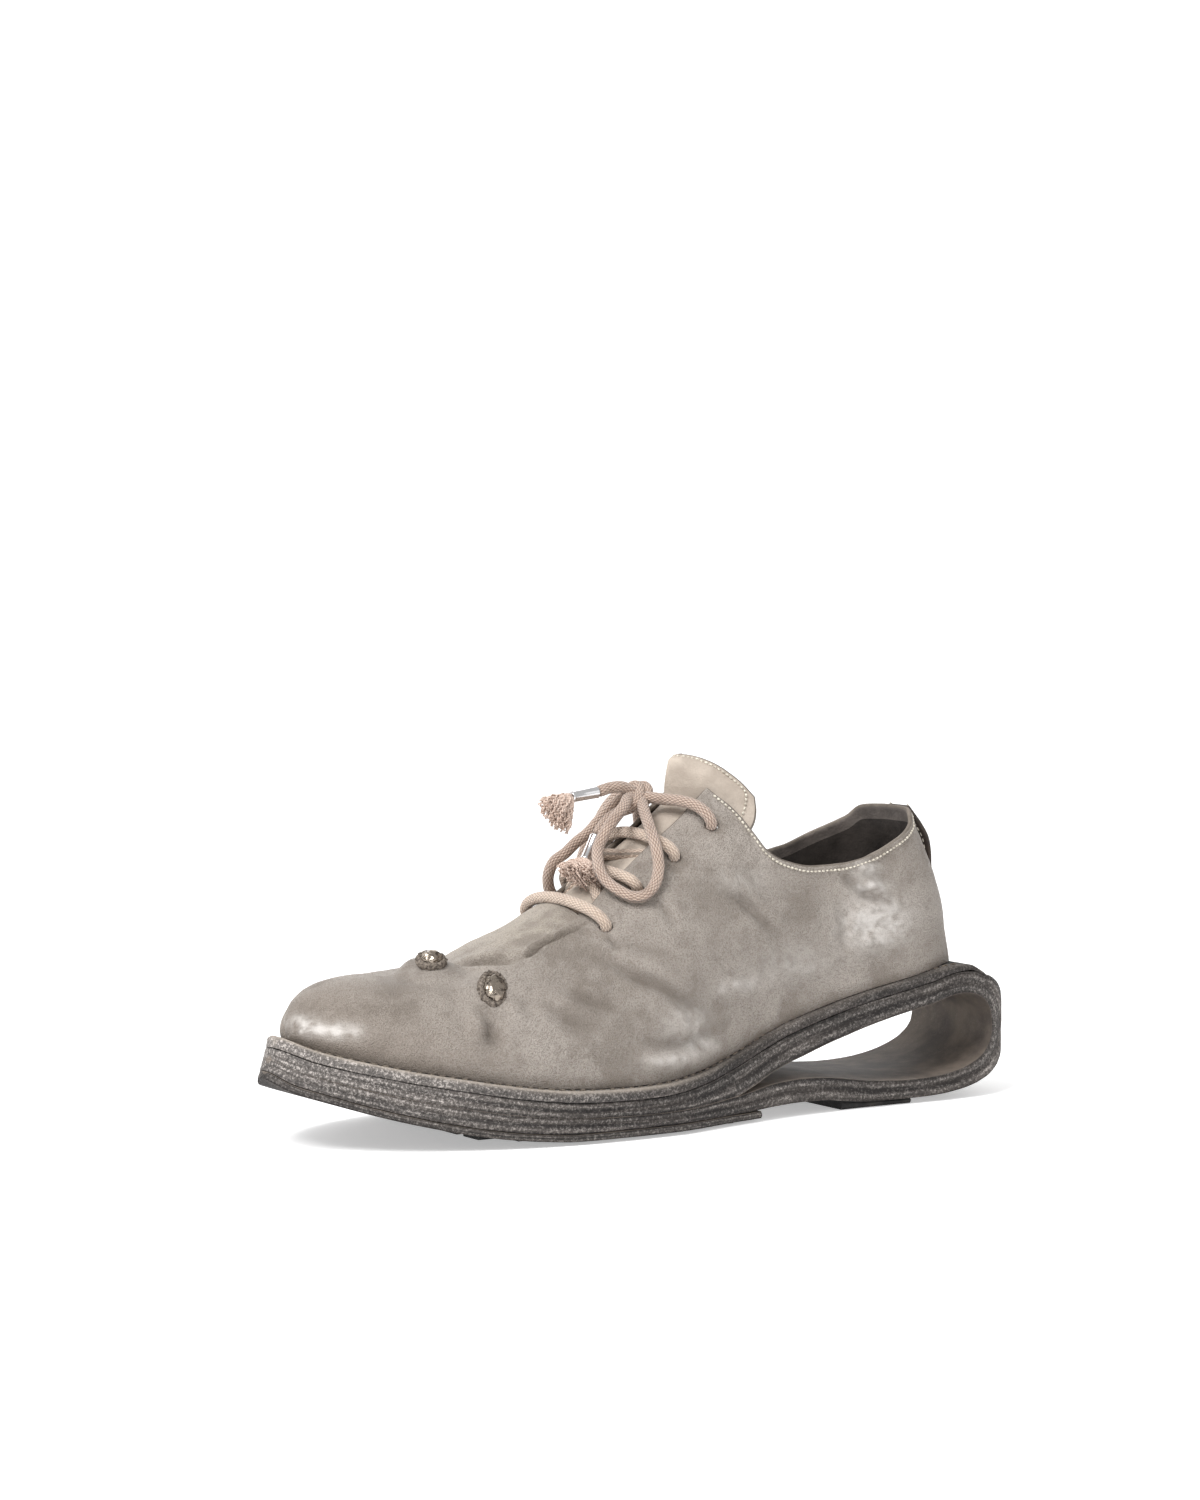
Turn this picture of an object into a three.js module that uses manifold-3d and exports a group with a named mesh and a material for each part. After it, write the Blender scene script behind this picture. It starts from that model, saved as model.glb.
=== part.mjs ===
// A left derby shoe on a looped heel, in millimetres, +Z up, standing on the floor at z = 0.
// The toe points to -X, the outer side of the foot is -Y, and x = 0 is midway along the sole.
// "Along" is the distance from the tip of the toe. The sole is one carved form: its forefoot is
// solid, and behind the waist it splits into a band under the seat and a band on the floor, which
// are joined by a bend behind the heel. The upper is one cut of leather over a last, slit at the
// throat, with a tongue under the slit and four pairs of plain punched lace holes.

import * as THREE from "three";
import { mergeVertices } from "three/addons/utils/BufferGeometryUtils.js";
import Module from "manifold-3d";

const wasm = await Module();
wasm.setup();

// Sole sizes
const soleLength = 312;
const ballHalfWidth = 53;
const forefootStack = 18.4;
const seatHeight = 52;
const toeSpring = 25;
const weltThickness = 4;
const halfSoleThickness = 2.6;
const lugHeight = 1.3;
const ribDepth = 0.9;
const seatBandThickness = 9;
const floorBandThickness = 8.6;
const bendThickness = 11.8;
const bendHeight = 26;
const archLift = 5;

// Upper sizes
const heelLedge = 20.5;
const toeLedge = 9.8;
const toeRake = 5.5;
const sideLedge = 5;
const seatLedge = 1.6;
const leather = 1.8;
const toeBoxHeight = 59.2;
const instepHeight = 124.5;
const backHeight = 111;
const throatHalfWidth = 14;
const throatNarrowing = 0.35;
const eyeletHalfGap = 23.3;
const eyeletRadius = 2.8;
const laceRadius = 2.2;
const tongueHeight = 134;
const tongueHalfWidth = 23;
const tongueThickness = 2;
const insoleThickness = 2.5;
const strapWidth = 15;
const strapThickness = 2.2;
const studLength = 12.5;
const studWidth = 8;
const studHeight = 4;

// Clearance between pieces that touch
const seam = 0.3;

const materials = {
  leather: new THREE.MeshStandardMaterial({ color: 0x9c9389, roughness: 0.55 }),
  sole: new THREE.MeshStandardMaterial({ color: 0x544d49, roughness: 0.9 }),
  welt: new THREE.MeshStandardMaterial({ color: 0x6f6761, roughness: 0.9 }),
  rubber: new THREE.MeshStandardMaterial({ color: 0x1d1b1a, roughness: 0.8 }),
  insole: new THREE.MeshStandardMaterial({ color: 0x4a4542, roughness: 0.7 }),
  strap: new THREE.MeshStandardMaterial({ color: 0x3d3835, roughness: 0.8 }),
  stud: new THREE.MeshStandardMaterial({ color: 0x6a5d50, roughness: 0.35, metalness: 0.8 }),
  lace: new THREE.MeshStandardMaterial({ color: 0xc9ada0, roughness: 0.9 }),
  steel: new THREE.MeshStandardMaterial({ color: 0xc8c8c8, roughness: 0.2, metalness: 1 }),
};

// Helpers

// A smooth curve through table rows that never overshoots them (monotone cubic).
function curveThrough(rows, xName, yName) {
  const xs = rows.map((row) => row[xName]);
  const ys = rows.map((row) => row[yName]);
  const count = xs.length;
  const slopes = [];
  for (let i = 0; i < count - 1; i++) slopes.push((ys[i + 1] - ys[i]) / (xs[i + 1] - xs[i]));
  const tangents = [slopes[0]];
  for (let i = 1; i < count - 1; i++) {
    const same = slopes[i - 1] * slopes[i] > 0;
    tangents.push(same ? (2 * slopes[i - 1] * slopes[i]) / (slopes[i - 1] + slopes[i]) : 0);
  }
  tangents.push(slopes[count - 2]);
  return (x) => {
    const held = Math.min(Math.max(x, xs[0]), xs[count - 1]);
    let i = 0;
    while (i < count - 2 && held > xs[i + 1]) i++;
    const span = xs[i + 1] - xs[i];
    const t = (held - xs[i]) / span;
    const bent = t * t * (3 - 2 * t);
    const start = t * (1 - t) * (1 - t) * span * tangents[i];
    const end = t * t * (t - 1) * span * tangents[i + 1];
    return ys[i] * (1 - bent) + ys[i + 1] * bent + start + end;
  };
}

// The quarter of a rounded shape: 0 at share 0, 1 at share 1, steep at the start.
function roundedShare(share, power) {
  const held = Math.min(Math.max(share, 0), 1);
  return Math.pow(1 - Math.pow(1 - held, power), 1 / power);
}

// A closed mesh from vertices and triangles, as a solid with its faces pointing out.
function solidFrom(points, triangles) {
  const raw = new THREE.BufferGeometry().setFromPoints(points);
  raw.setIndex(triangles);
  const merged = mergeVertices(raw, 1e-3);
  const position = merged.getAttribute("position").array;
  const index = merged.index.array;
  const kept = [];
  let volume = 0;
  for (let i = 0; i < index.length; i += 3) {
    const [a, b, c] = [index[i], index[i + 1], index[i + 2]];
    if (a === b || b === c || c === a) continue;
    kept.push(a, b, c);
    const [p, q, r] = [a, b, c].map((n) => new THREE.Vector3().fromArray(position, n * 3));
    volume += p.dot(q.cross(r));
  }
  if (volume < 0) kept.reverse();
  return new wasm.Manifold(
    new wasm.Mesh({
      numProp: 3,
      vertProperties: Float32Array.from(position),
      triVerts: Uint32Array.from(kept),
    }),
  );
}

// A solid through closed rings of equal counts, with both ends closed by fans.
function loft(rings) {
  const around = rings[0].length;
  const points = rings.flat();
  const triangles = [];
  for (let i = 0; i < rings.length - 1; i++)
    for (let j = 0; j < around; j++) {
      const k = (j + 1) % around;
      const [a, b] = [i * around + j, i * around + k];
      const [c, d] = [a + around, b + around];
      triangles.push(a, b, d, a, d, c);
    }
  for (const [first, flipped] of [[0, true], [(rings.length - 1) * around, false]]) {
    const middle = points.length;
    const centre = new THREE.Vector3();
    for (let j = 0; j < around; j++) centre.add(points[first + j]);
    points.push(centre.divideScalar(around));
    for (let j = 0; j < around; j++) {
      const k = (j + 1) % around;
      if (flipped) triangles.push(middle, first + k, first + j);
      else triangles.push(middle, first + j, first + k);
    }
  }
  return solidFrom(points, triangles);
}

// Any closed three.js geometry as a solid, moved by a matrix once its seams are welded.
function solidOf(geometry, placing = new THREE.Matrix4()) {
  geometry.deleteAttribute("normal");
  geometry.deleteAttribute("uv");
  const welded = mergeVertices(geometry, 1e-3);
  const position = welded.getAttribute("position");
  const points = [];
  for (let i = 0; i < position.count; i++) {
    points.push(new THREE.Vector3().fromBufferAttribute(position, i).applyMatrix4(placing));
  }
  return solidFrom(points, Array.from(welded.index.array));
}

function geometryOf(solid) {
  const mesh = solid.getMesh();
  const geometry = new THREE.BufferGeometry();
  geometry.setAttribute("position", new THREE.BufferAttribute(Float32Array.from(mesh.vertProperties), 3));
  geometry.setIndex(new THREE.BufferAttribute(Uint32Array.from(mesh.triVerts), 1));
  geometry.computeVertexNormals();
  return geometry;
}

const shoe = new THREE.Group();
function addPiece(name, solid, material) {
  const mesh = new THREE.Mesh(geometryOf(solid), material);
  mesh.name = name;
  shoe.add(mesh);
}

const place = (along, out, up) => new THREE.Vector3(along - soleLength / 2, out, up);
const steps = (from, to, count) =>
  Array.from({ length: count + 1 }, (_, i) => from + ((to - from) * i) / count);
// Steps that crowd towards their start, for an end that rounds off.
const crowdedSteps = (from, to, count) =>
  steps(0, Math.PI / 2, count).map((angle) => from + (to - from) * (1 - Math.cos(angle)));

// Sole outline, seen from above

// Half widths behind the ball: along as a share of the sole's length, widths of the ball's.
const waistRows = [
  { along: 0.295, lateral: 1.0, medial: 1.0 },
  { along: 0.36, lateral: 1.0, medial: 0.95 },
  { along: 0.45, lateral: 0.972, medial: 0.828 },
  { along: 0.55, lateral: 0.81, medial: 0.65 },
  { along: 0.65, lateral: 0.675, medial: 0.56 },
  { along: 0.75, lateral: 0.612, medial: 0.56 },
  { along: 0.85, lateral: 0.592, medial: 0.575 },
];
const lateralWaist = curveThrough(waistRows, "along", "lateral");
const medialWaist = curveThrough(waistRows, "along", "medial");
const LATERAL = -1;
const MEDIAL = 1;
const ballAlong = { [LATERAL]: 0.36, [MEDIAL]: 0.295 };
const toePower = { [LATERAL]: 1.8, [MEDIAL]: 1.7 };
const backPower = 3;
const backRoundStart = 0.85;
const tipBlunting = 0.3;
const backBlunting = 2.5;

// Half width of the sole at a distance from the toe.
function soleHalfWidth(along, side) {
  const ball = ballAlong[side] * soleLength;
  const waist = side === LATERAL ? lateralWaist : medialWaist;
  if (along < ball) {
    return ballHalfWidth * roundedShare((along + tipBlunting) / (ball + tipBlunting), toePower[side]);
  }
  const start = backRoundStart * soleLength;
  const width = ballHalfWidth * waist(along / soleLength);
  if (along < start) return width;
  const end = soleLength + backBlunting;
  return width * roundedShare((end - along) / (end - start), backPower);
}

// Sole lines, seen from the side

// The toe spring under the sole and on its top, as shares of the toe spring.
const springRows = [
  { along: 0, under: 1.0, top: 0.98 },
  { along: 0.016, under: 0.84, top: 0.87 },
  { along: 0.038, under: 0.735, top: 0.715 },
  { along: 0.062, under: 0.63, top: 0.62 },
  { along: 0.101, under: 0.475, top: 0.5 },
  { along: 0.142, under: 0.335, top: 0.385 },
  { along: 0.185, under: 0.21, top: 0.285 },
  { along: 0.23, under: 0.105, top: 0.18 },
  { along: 0.277, under: 0.035, top: 0.09 },
  { along: 0.32, under: 0, top: 0.035 },
  { along: 0.4, under: 0, top: 0 },
];
// The climb of the top from the ball to the seat, as shares of that climb.
const climbRows = [
  { along: 0.369, climb: 0 },
  { along: 0.43, climb: 0.012 },
  { along: 0.5, climb: 0.09 },
  { along: 0.535, climb: 0.165 },
  { along: 0.569, climb: 0.265 },
  { along: 0.603, climb: 0.375 },
  { along: 0.637, climb: 0.48 },
  { along: 0.7, climb: 0.63 },
  { along: 0.762, climb: 0.76 },
  { along: 0.822, climb: 0.865 },
  { along: 0.868, climb: 0.945 },
  { along: 0.9, climb: 0.985 },
  { along: 0.92, climb: 0.98 },
  { along: 0.94, climb: 0.9 },
  { along: 0.955, climb: 0.81 },
];
const springUnder = curveThrough(springRows, "along", "under");
const springTop = curveThrough(springRows, "along", "top");
const climb = curveThrough(climbRows, "along", "climb");

// The top of the welt, which carries the upper.
function topLine(along) {
  const share = along / soleLength;
  return forefootStack + toeSpring * springTop(share) + (seatHeight - forefootStack) * climb(share);
}

// The sole's front leans back over the toe: how far its top stands behind its foot.
const rakeEnd = 36;
const rakeAt = (along) => toeRake * Math.pow(Math.max(1 - along / rakeEnd, 0), 2);
const rakedTop = (along) => topLine(along + rakeAt(along));

// The underside of the half sole, above its lugs.
function underLine(along) {
  return lugHeight + (toeSpring - lugHeight) * springUnder(along / soleLength);
}

// The split between the two bands behind the waist: the floor band's underside as a share of the
// arch's lift, its thickness, and the seat band's thickness, as shares of theirs.
const bandRows = [
  { along: 0.5, lift: 0.84, floor: 0.72, seat: 0.6 },
  { along: 0.551, lift: 0.86, floor: 0.74, seat: 1.2 },
  { along: 0.583, lift: 0.9, floor: 0.86, seat: 1.2 },
  { along: 0.615, lift: 0.98, floor: 0.99, seat: 1.12 },
  { along: 0.66, lift: 1.04, floor: 1.03, seat: 1.12 },
  { along: 0.7, lift: 0.96, floor: 1.0, seat: 1.06 },
  { along: 0.735, lift: 0.7, floor: 0.98, seat: 1.02 },
  { along: 0.77, lift: 0.52, floor: 0.9, seat: 0.96 },
  { along: 0.82, lift: 0.45, floor: 0.83, seat: 0.9 },
];
const bandLift = curveThrough(bandRows, "along", "lift");
const floorShare = curveThrough(bandRows, "along", "floor");
const seatShare = curveThrough(bandRows, "along", "seat");
const splitAlong = 0.551 * soleLength;
const seatBendAlong = 0.907 * soleLength;
const floorBendAlong = 0.83 * soleLength;
const weltEndAlong = 0.948 * soleLength;
const weltTaperStart = 0.86 * soleLength;
const weltTaper = 0.72;
const bendPower = 2.3;

// The welt thins to an edge behind the heel.
function weltDepth(along) {
  const share = Math.min(Math.max((along - weltTaperStart) / (weltEndAlong - weltTaperStart), 0), 1);
  return weltThickness * (1 - weltTaper * share);
}

const seatBandTop = (along) => rakedTop(along) - weltDepth(along) - seam;
const halfSoleEnd = 0.596 * soleLength;

const floorUnder = (along) => archLift * bandLift(along / soleLength);
const floorTop = (along) => floorUnder(along) + floorBandThickness * floorShare(along / soleLength);

// The line between the forefoot's two layers, which ends where the bands part.
const evenSplit = 0.5;
const splitShiftStart = 0.3 * soleLength;
function blockLines(along) {
  const low = underLine(along) + halfSoleThickness + seam;
  const top = seatBandTop(along);
  const foot = floorUnder(splitAlong);
  const crotch = (floorTop(splitAlong) - foot) / (seatBandTop(splitAlong) - foot);
  const shift = Math.max((along - splitShiftStart) / (splitAlong - splitShiftStart), 0);
  const middle = low + (top - low) * (evenSplit + (crotch - evenSplit) * shift);
  return { low, middle, top };
}

// Layers that lie on each other are sampled at the same distances, so that they never cross.
const toeRoundEnd = 0.16 * soleLength;
const toeStations = [
  ...crowdedSteps(0, toeRoundEnd, 10),
  ...steps(toeRoundEnd, splitAlong, 10).slice(1),
];
const seatStations = steps(splitAlong, seatBendAlong, 12);

// The loop's sections from the split along the floor, round the bend and back under the seat:
// each is the band's outer and inner point, as [along, height].
function loopSections() {
  const sections = [];
  const bendInner = soleLength - bendThickness;
  for (const along of steps(splitAlong, floorBendAlong, 10)) {
    sections.push({ outer: [along, floorUnder(along)], inner: [along, floorTop(along)] });
  }
  const bendFrom = (angle, startAlong, startHeight, endAlong, endHeight) => [
    startAlong + (endAlong - startAlong) * Math.pow(Math.sin(angle), 2 / bendPower),
    endHeight + (startHeight - endHeight) * Math.pow(Math.cos(angle), 2 / bendPower),
  ];
  const quarter = steps(0, Math.PI / 2, 7).slice(1);
  const outerLow = floorUnder(floorBendAlong);
  const innerLow = floorTop(floorBendAlong);
  for (const angle of quarter) {
    sections.push({
      outer: bendFrom(angle, floorBendAlong, outerLow, soleLength, bendHeight - 1),
      inner: bendFrom(angle, floorBendAlong, innerLow, bendInner, bendHeight + 1),
    });
  }
  const seatTop = seatBandTop(seatBendAlong);
  const seatUnder = seatTop - seatBandThickness * seatShare(1);
  for (const angle of quarter.slice(0, -1).reverse()) {
    const outer = bendFrom(angle, seatBendAlong, seatTop, soleLength, bendHeight - 1);
    if (outer[0] < weltEndAlong) outer[1] = Math.min(outer[1], seatBandTop(outer[0]));
    sections.push({
      outer,
      inner: bendFrom(angle, seatBendAlong, seatUnder, bendInner, bendHeight + 1),
    });
  }
  for (const along of seatStations.slice().reverse()) {
    const top = seatBandTop(along);
    const band = seatBandThickness * seatShare(along / soleLength);
    const under = along > splitAlong ? top - band : blockLines(along).middle;
    sections.push({ outer: [along, top], inner: [along, under] });
  }
  return sections;
}

// The side of a band: how far each line along it stands back, as shares of the rib's depth.
const ribRows = [
  { depth: 0, back: 0.9 },
  { depth: 0.12, back: 0 },
  { depth: 0.4, back: 0 },
  { depth: 0.5, back: 1 },
  { depth: 0.6, back: 0 },
  { depth: 0.88, back: 0 },
  { depth: 1, back: 0.9 },
];

// A ring around a band from its outer to its inner line, on one side and back on the other.
function bandRing(outer, inner, rows) {
  const sidePoint = (row, side) => {
    const along = outer[0] + (inner[0] - outer[0]) * row.depth;
    const up = outer[1] + (inner[1] - outer[1]) * row.depth;
    const half = Math.max(soleHalfWidth(along, side) - ribDepth * row.back, 1);
    const low = underLine(along);
    const height = Math.min(Math.max((up - low) / (rakedTop(along) - low), 0), 1);
    return place(along + rakeAt(along) * height, side * half, up);
  };
  const near = rows.map((row) => sidePoint(row, LATERAL));
  const far = rows.map((row) => sidePoint(row, MEDIAL)).reverse();
  return [...near, ...far];
}

function makeLoopSole() {
  const fused = 0.2;
  const lowerRings = toeStations.slice(0, -1).map((along) => {
    const { low, middle } = blockLines(along);
    return bandRing([along, low], [along, middle + fused], ribRows);
  });
  const loop = loopSections().map(({ outer, inner }) => bandRing(outer, inner, ribRows));
  const upperRings = toeStations.map((along) => {
    const { middle, top } = blockLines(along);
    return bandRing([along, top], [along, middle], ribRows);
  });
  return wasm.Manifold.union([loft([...lowerRings, ...loop]), loft(upperRings)]);
}

addPiece("loop_sole", makeLoopSole(), materials.sole);

// Floor pieces: the half sole with its lugs, and the heel pad

const lugLength = 9;
const lugPitch = 16.5;
const lugWidth = 11;
const lugRowPitch = 15.5;
const lugInset = 2.5;
const firstLug = 67;

function makeHalfSole() {
  const stations = [...toeStations, halfSoleEnd];
  const rows = [{ depth: 0, back: 0.9 }, { depth: 0.3, back: 0 }, { depth: 1, back: 0 }];
  const plate = loft(
    stations.map((along) => {
      const low = underLine(along);
      return bandRing([along, low], [along, low + halfSoleThickness], rows);
    }),
  );
  const lugs = [];
  for (let along = firstLug; along < halfSoleEnd - lugLength; along += lugPitch) {
    for (let row = -3; row <= 3; row++) {
      const out = row * lugRowPitch;
      const side = out < 0 ? LATERAL : MEDIAL;
      const room = Math.min(soleHalfWidth(along, side), soleHalfWidth(along + lugLength, side));
      if (Math.abs(out) + lugWidth / 2 + lugInset > room) continue;
      const top = underLine(along) + halfSoleThickness / 2;
      const bottom = underLine(along + lugLength / 2) - lugHeight;
      const block = new THREE.BoxGeometry(lugLength, lugWidth, top - bottom);
      const middle = place(along + lugLength / 2, out, (top + bottom) / 2);
      lugs.push(solidOf(block.translate(middle.x, middle.y, middle.z)));
    }
  }
  return wasm.Manifold.union([plate, ...lugs]);
}

addPiece("half_sole", makeHalfSole(), materials.rubber);

function makeHeelPad() {
  const rows = [{ depth: 0, back: 0 }, { depth: 1, back: 0 }];
  const inset = 2.5;
  return loft(
    steps(0.73 * soleLength, 0.835 * soleLength, 10).map((along) => {
      const under = archLift * bandLift(along / soleLength);
      const ring = bandRing([along, 0], [along, under - seam], rows);
      return ring.map((point) => point.setY(point.y - Math.sign(point.y) * inset));
    }),
  );
}

addPiece("heel_pad", makeHeelPad(), materials.rubber);

// Welt: the top layer, stitched to the upper, from the toe to just behind the heel.
function makeWelt() {
  const rows = [
    { depth: 0, back: 0.5 },
    { depth: 0.3, back: -0.5 },
    { depth: 0.8, back: -0.3 },
    { depth: 1, back: 0.8 },
  ];
  const bent = loopSections().map(({ outer }) => outer);
  const covered = ([along, up]) => along > seatBendAlong + 1 && along < weltEndAlong && up > bendHeight;
  const behind = bent.filter(covered);
  const stations = [...toeStations, ...seatStations.slice(1), ...behind.map(([along]) => along).reverse()];
  return loft(
    stations.map((along) => {
      const top = rakedTop(along);
      return bandRing([along, top], [along, top - weltDepth(along)], rows);
    }),
  );
}

addPiece("welt", makeWelt(), materials.welt);

// Upper

const upperEnd = soleLength - heelLedge;
const heelRoundStart = 0.817 * soleLength;
const heelPower = 2.3;
const ridgeToeEnd = 0.144 * soleLength;

// Half width of the upper where it meets the welt.
function baseHalfWidth(along, side) {
  const ball = ballAlong[side] * soleLength;
  if (along < ball) {
    const share = (along - toeLedge) / (ball - toeLedge);
    return (ballHalfWidth - sideLedge) * roundedShare(share, toePower[side]);
  }
  const fade = Math.min((along - ball) / (heelRoundStart - ball), 1);
  const ledge = sideLedge + (seatLedge - sideLedge) * fade;
  const width = soleHalfWidth(Math.min(along, heelRoundStart), side) - ledge;
  if (along < heelRoundStart) return width;
  return width * roundedShare((upperEnd - along) / (upperEnd - heelRoundStart), heelPower);
}

// The ridge of the vamp and instep: height as a share from the toe box to the instep.
const ridgeRows = [
  { along: 0.144, height: 0 },
  { along: 0.183, height: 0.016 },
  { along: 0.218, height: 0.032 },
  { along: 0.253, height: 0.036 },
  { along: 0.269, height: 0.07 },
  { along: 0.282, height: 0.11 },
  { along: 0.301, height: 0.152 },
  { along: 0.327, height: 0.198 },
  { along: 0.353, height: 0.25 },
  { along: 0.378, height: 0.318 },
  { along: 0.404, height: 0.387 },
  { along: 0.429, height: 0.475 },
  { along: 0.455, height: 0.566 },
  { along: 0.481, height: 0.659 },
  { along: 0.513, height: 0.775 },
  { along: 0.545, height: 0.9 },
  { along: 0.571, height: 1 },
];
const ridgeShare = curveThrough(ridgeRows, "along", "height");
const ridgePower = 2.6;

function ridgeHeight(along) {
  if (along < ridgeToeEnd) {
    const base = topLine(toeLedge) + seam;
    const share = (along - toeLedge) / (ridgeToeEnd - toeLedge);
    return base + (toeBoxHeight - base) * roundedShare(share, ridgePower);
  }
  return toeBoxHeight + (instepHeight - toeBoxHeight) * ridgeShare(along / soleLength);
}

// The top line of the quarters behind the facings, as shares of the back's height.
const collarRows = [
  { along: 0.571, height: 1.088 },
  { along: 0.587, height: 1.035 },
  { along: 0.603, height: 0.964 },
  { along: 0.622, height: 0.892 },
  { along: 0.649, height: 0.852 },
  { along: 0.685, height: 0.831 },
  { along: 0.721, height: 0.832 },
  { along: 0.762, height: 0.852 },
  { along: 0.802, height: 0.895 },
  { along: 0.845, height: 0.952 },
  { along: 0.86, height: 0.992 },
  { along: 0.873, height: 1.0 },
];
const collarShare = curveThrough(collarRows, "along", "height");
const collarStart = collarRows[0].along * soleLength;

// How boxy each section is, and how far its wall swells over the welt, as a share of the leather.
const sectionRows = [
  { along: 0.03, power: 2.3, belly: 0.5 },
  { along: 0.2, power: 2.2, belly: 0.7 },
  { along: 0.4, power: 2.2, belly: 0.9 },
  { along: 0.45, power: 2.25, belly: 1.0 },
  { along: 0.557, power: 2.5, belly: 0.9 },
  { along: 0.6, power: 3, belly: 0.8 },
  { along: 0.65, power: 3.6, belly: 0.8 },
  { along: 0.72, power: 4, belly: 1.0 },
  { along: 0.8, power: 4, belly: 1.2 },
  { along: 0.94, power: 4, belly: 1.3 },
];
const sectionPower = curveThrough(sectionRows, "along", "power");
const sectionBelly = curveThrough(sectionRows, "along", "belly");

// The heel's back leans forward: how far each rib's top stands ahead of its foot.
const backLean = 19;
const leanStart = 0.6 * soleLength;
const leanPower = 1.5;
function lean(along) {
  const share = Math.max((along - leanStart) / (upperEnd - leanStart), 0);
  return backLean * Math.pow(share, leanPower);
}

// The swell dies away where the toe's section closes.
const swellFade = 10;
const steepest = 1000;

// A point of the upper's outside. Turn runs from 0 at the welt to a right angle at the ridge.
function upperPoint(along, turn, side) {
  const share = along / soleLength;
  const base = topLine(along) + seam;
  const full = ridgeHeight(along) - base;
  const exponent = 2 / sectionPower(share);
  const rise = Math.pow(Math.sin(turn), exponent);
  const reach = Math.pow(Math.max(Math.cos(turn), 0), exponent);
  const step = 0.5;
  const after = baseHalfWidth(Math.min(along + step, upperEnd), side);
  const before = baseHalfWidth(Math.max(along - step, toeLedge), side);
  let slope = (after - before) / (2 * step);
  if (along > upperEnd - step) slope = -steepest;
  if (along < toeLedge + step) slope = steepest;
  const fade = Math.min(full / swellFade, 1);
  const swell = leather * sectionBelly(share) * Math.sin(Math.PI * Math.min(rise * 1.4, 1)) * fade;
  const level = Math.hypot(slope, 1);
  const out = baseHalfWidth(along, side) * reach + swell / level;
  const leaned = (full * rise) / (backHeight - seatHeight);
  return place(along - lean(along) * leaned - (swell * slope) / level, side * out, base + full * rise);
}

// The turn at which a section reaches a half width, or a height.
function turnAtOut(along, out, side) {
  const reach = Math.min(out / Math.max(baseHalfWidth(along, side), 0.01), 1);
  return Math.acos(Math.pow(reach, sectionPower(along / soleLength) / 2));
}
function turnAtHeight(along, height) {
  const base = topLine(along) + seam;
  const rise = Math.min((height - base) / (ridgeHeight(along) - base), 1);
  return Math.asin(Math.pow(rise, sectionPower(along / soleLength) / 2));
}

// The slit along the facings runs outwards towards the toe.
const facingRows = [
  { along: 0.3, out: 1.65 },
  { along: 0.355, out: 1.43 },
  { along: 0.385, out: 1.3 },
  { along: 0.42, out: 1.08 },
  { along: 0.452, out: 1.0 },
  { along: 0.477, out: 0.99 },
  { along: 0.571, out: 1.03 },
];
const facingShare = curveThrough(facingRows, "along", "out");
function facingOut(along, side) {
  const line = throatHalfWidth * facingShare(along / soleLength);
  return Math.min(line, throatNarrowing * baseHalfWidth(along, side));
}

// The turn of a section's top edge: the facing in front, the collar behind.
function topTurn(along, side) {
  if (along <= collarStart) return turnAtOut(along, facingOut(along, side), side);
  const ahead = collarShare((along - lean(along)) / soleLength);
  return turnAtHeight(along, backHeight * ahead);
}

// How near a point lies to a line that it counts as standing on.
const onGround = 0.02;

// A sheet given by its outside, made solid: the inside is set in by the thickness. Where a
// point is on the ground line, its inner point is set in level and stands on that line too.
function thicken(points, triangles, thickness, ground = null) {
  const raw = new THREE.BufferGeometry().setFromPoints(points);
  raw.setIndex(triangles);
  const merged = mergeVertices(raw, 1e-3);
  const position = merged.getAttribute("position");
  const kept = [];
  for (let i = 0; i < merged.index.count; i += 3) {
    const [a, b, c] = [0, 1, 2].map((n) => merged.index.getX(i + n));
    if (a !== b && b !== c && c !== a) kept.push(a, b, c);
  }
  merged.setIndex(kept);
  merged.computeVertexNormals();
  const normal = merged.getAttribute("normal");
  const count = position.count;
  const outer = [];
  const inner = [];
  for (let i = 0; i < count; i++) {
    const point = new THREE.Vector3().fromBufferAttribute(position, i);
    const inward = new THREE.Vector3().fromBufferAttribute(normal, i).negate();
    const grounded = ground !== null && Math.abs(point.z - ground(point.x)) < onGround;
    if (grounded) inward.setZ(0).normalize();
    const within = point.clone().addScaledVector(inward, thickness);
    if (grounded) within.setZ(ground(within.x));
    outer.push(point);
    inner.push(within);
  }
  const faces = [...kept];
  const edges = new Map();
  for (let i = 0; i < kept.length; i += 3) {
    const [a, b, c] = kept.slice(i, i + 3);
    for (const [from, to] of [[a, b], [b, c], [c, a]]) edges.set(`${from}:${to}`, [from, to]);
    faces.push(a + count, c + count, b + count);
  }
  for (const [a, b] of edges.values()) {
    if (edges.has(`${b}:${a}`)) continue;
    faces.push(b, a, a + count, b, a + count, b + count);
  }
  return solidFrom([...outer, ...inner], faces);
}

const sideRows = 7;
const ridgeRowCount = 3;
const tabEnd = 0.385 * soleLength;
const collarLow = 0.65 * soleLength;

// The ribs of the upper from the toe to the back of the heel.
function upperStations() {
  return [
    ...crowdedSteps(toeLedge, ridgeToeEnd, 7),
    ...steps(ridgeToeEnd, tabEnd, 10).slice(1),
    ...steps(tabEnd, collarStart, 7).slice(1),
    ...steps(collarStart, collarLow, 5).slice(1),
    ...steps(collarLow, heelRoundStart, 5).slice(1),
    ...crowdedSteps(upperEnd, heelRoundStart, 6).reverse().slice(1),
  ];
}

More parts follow.
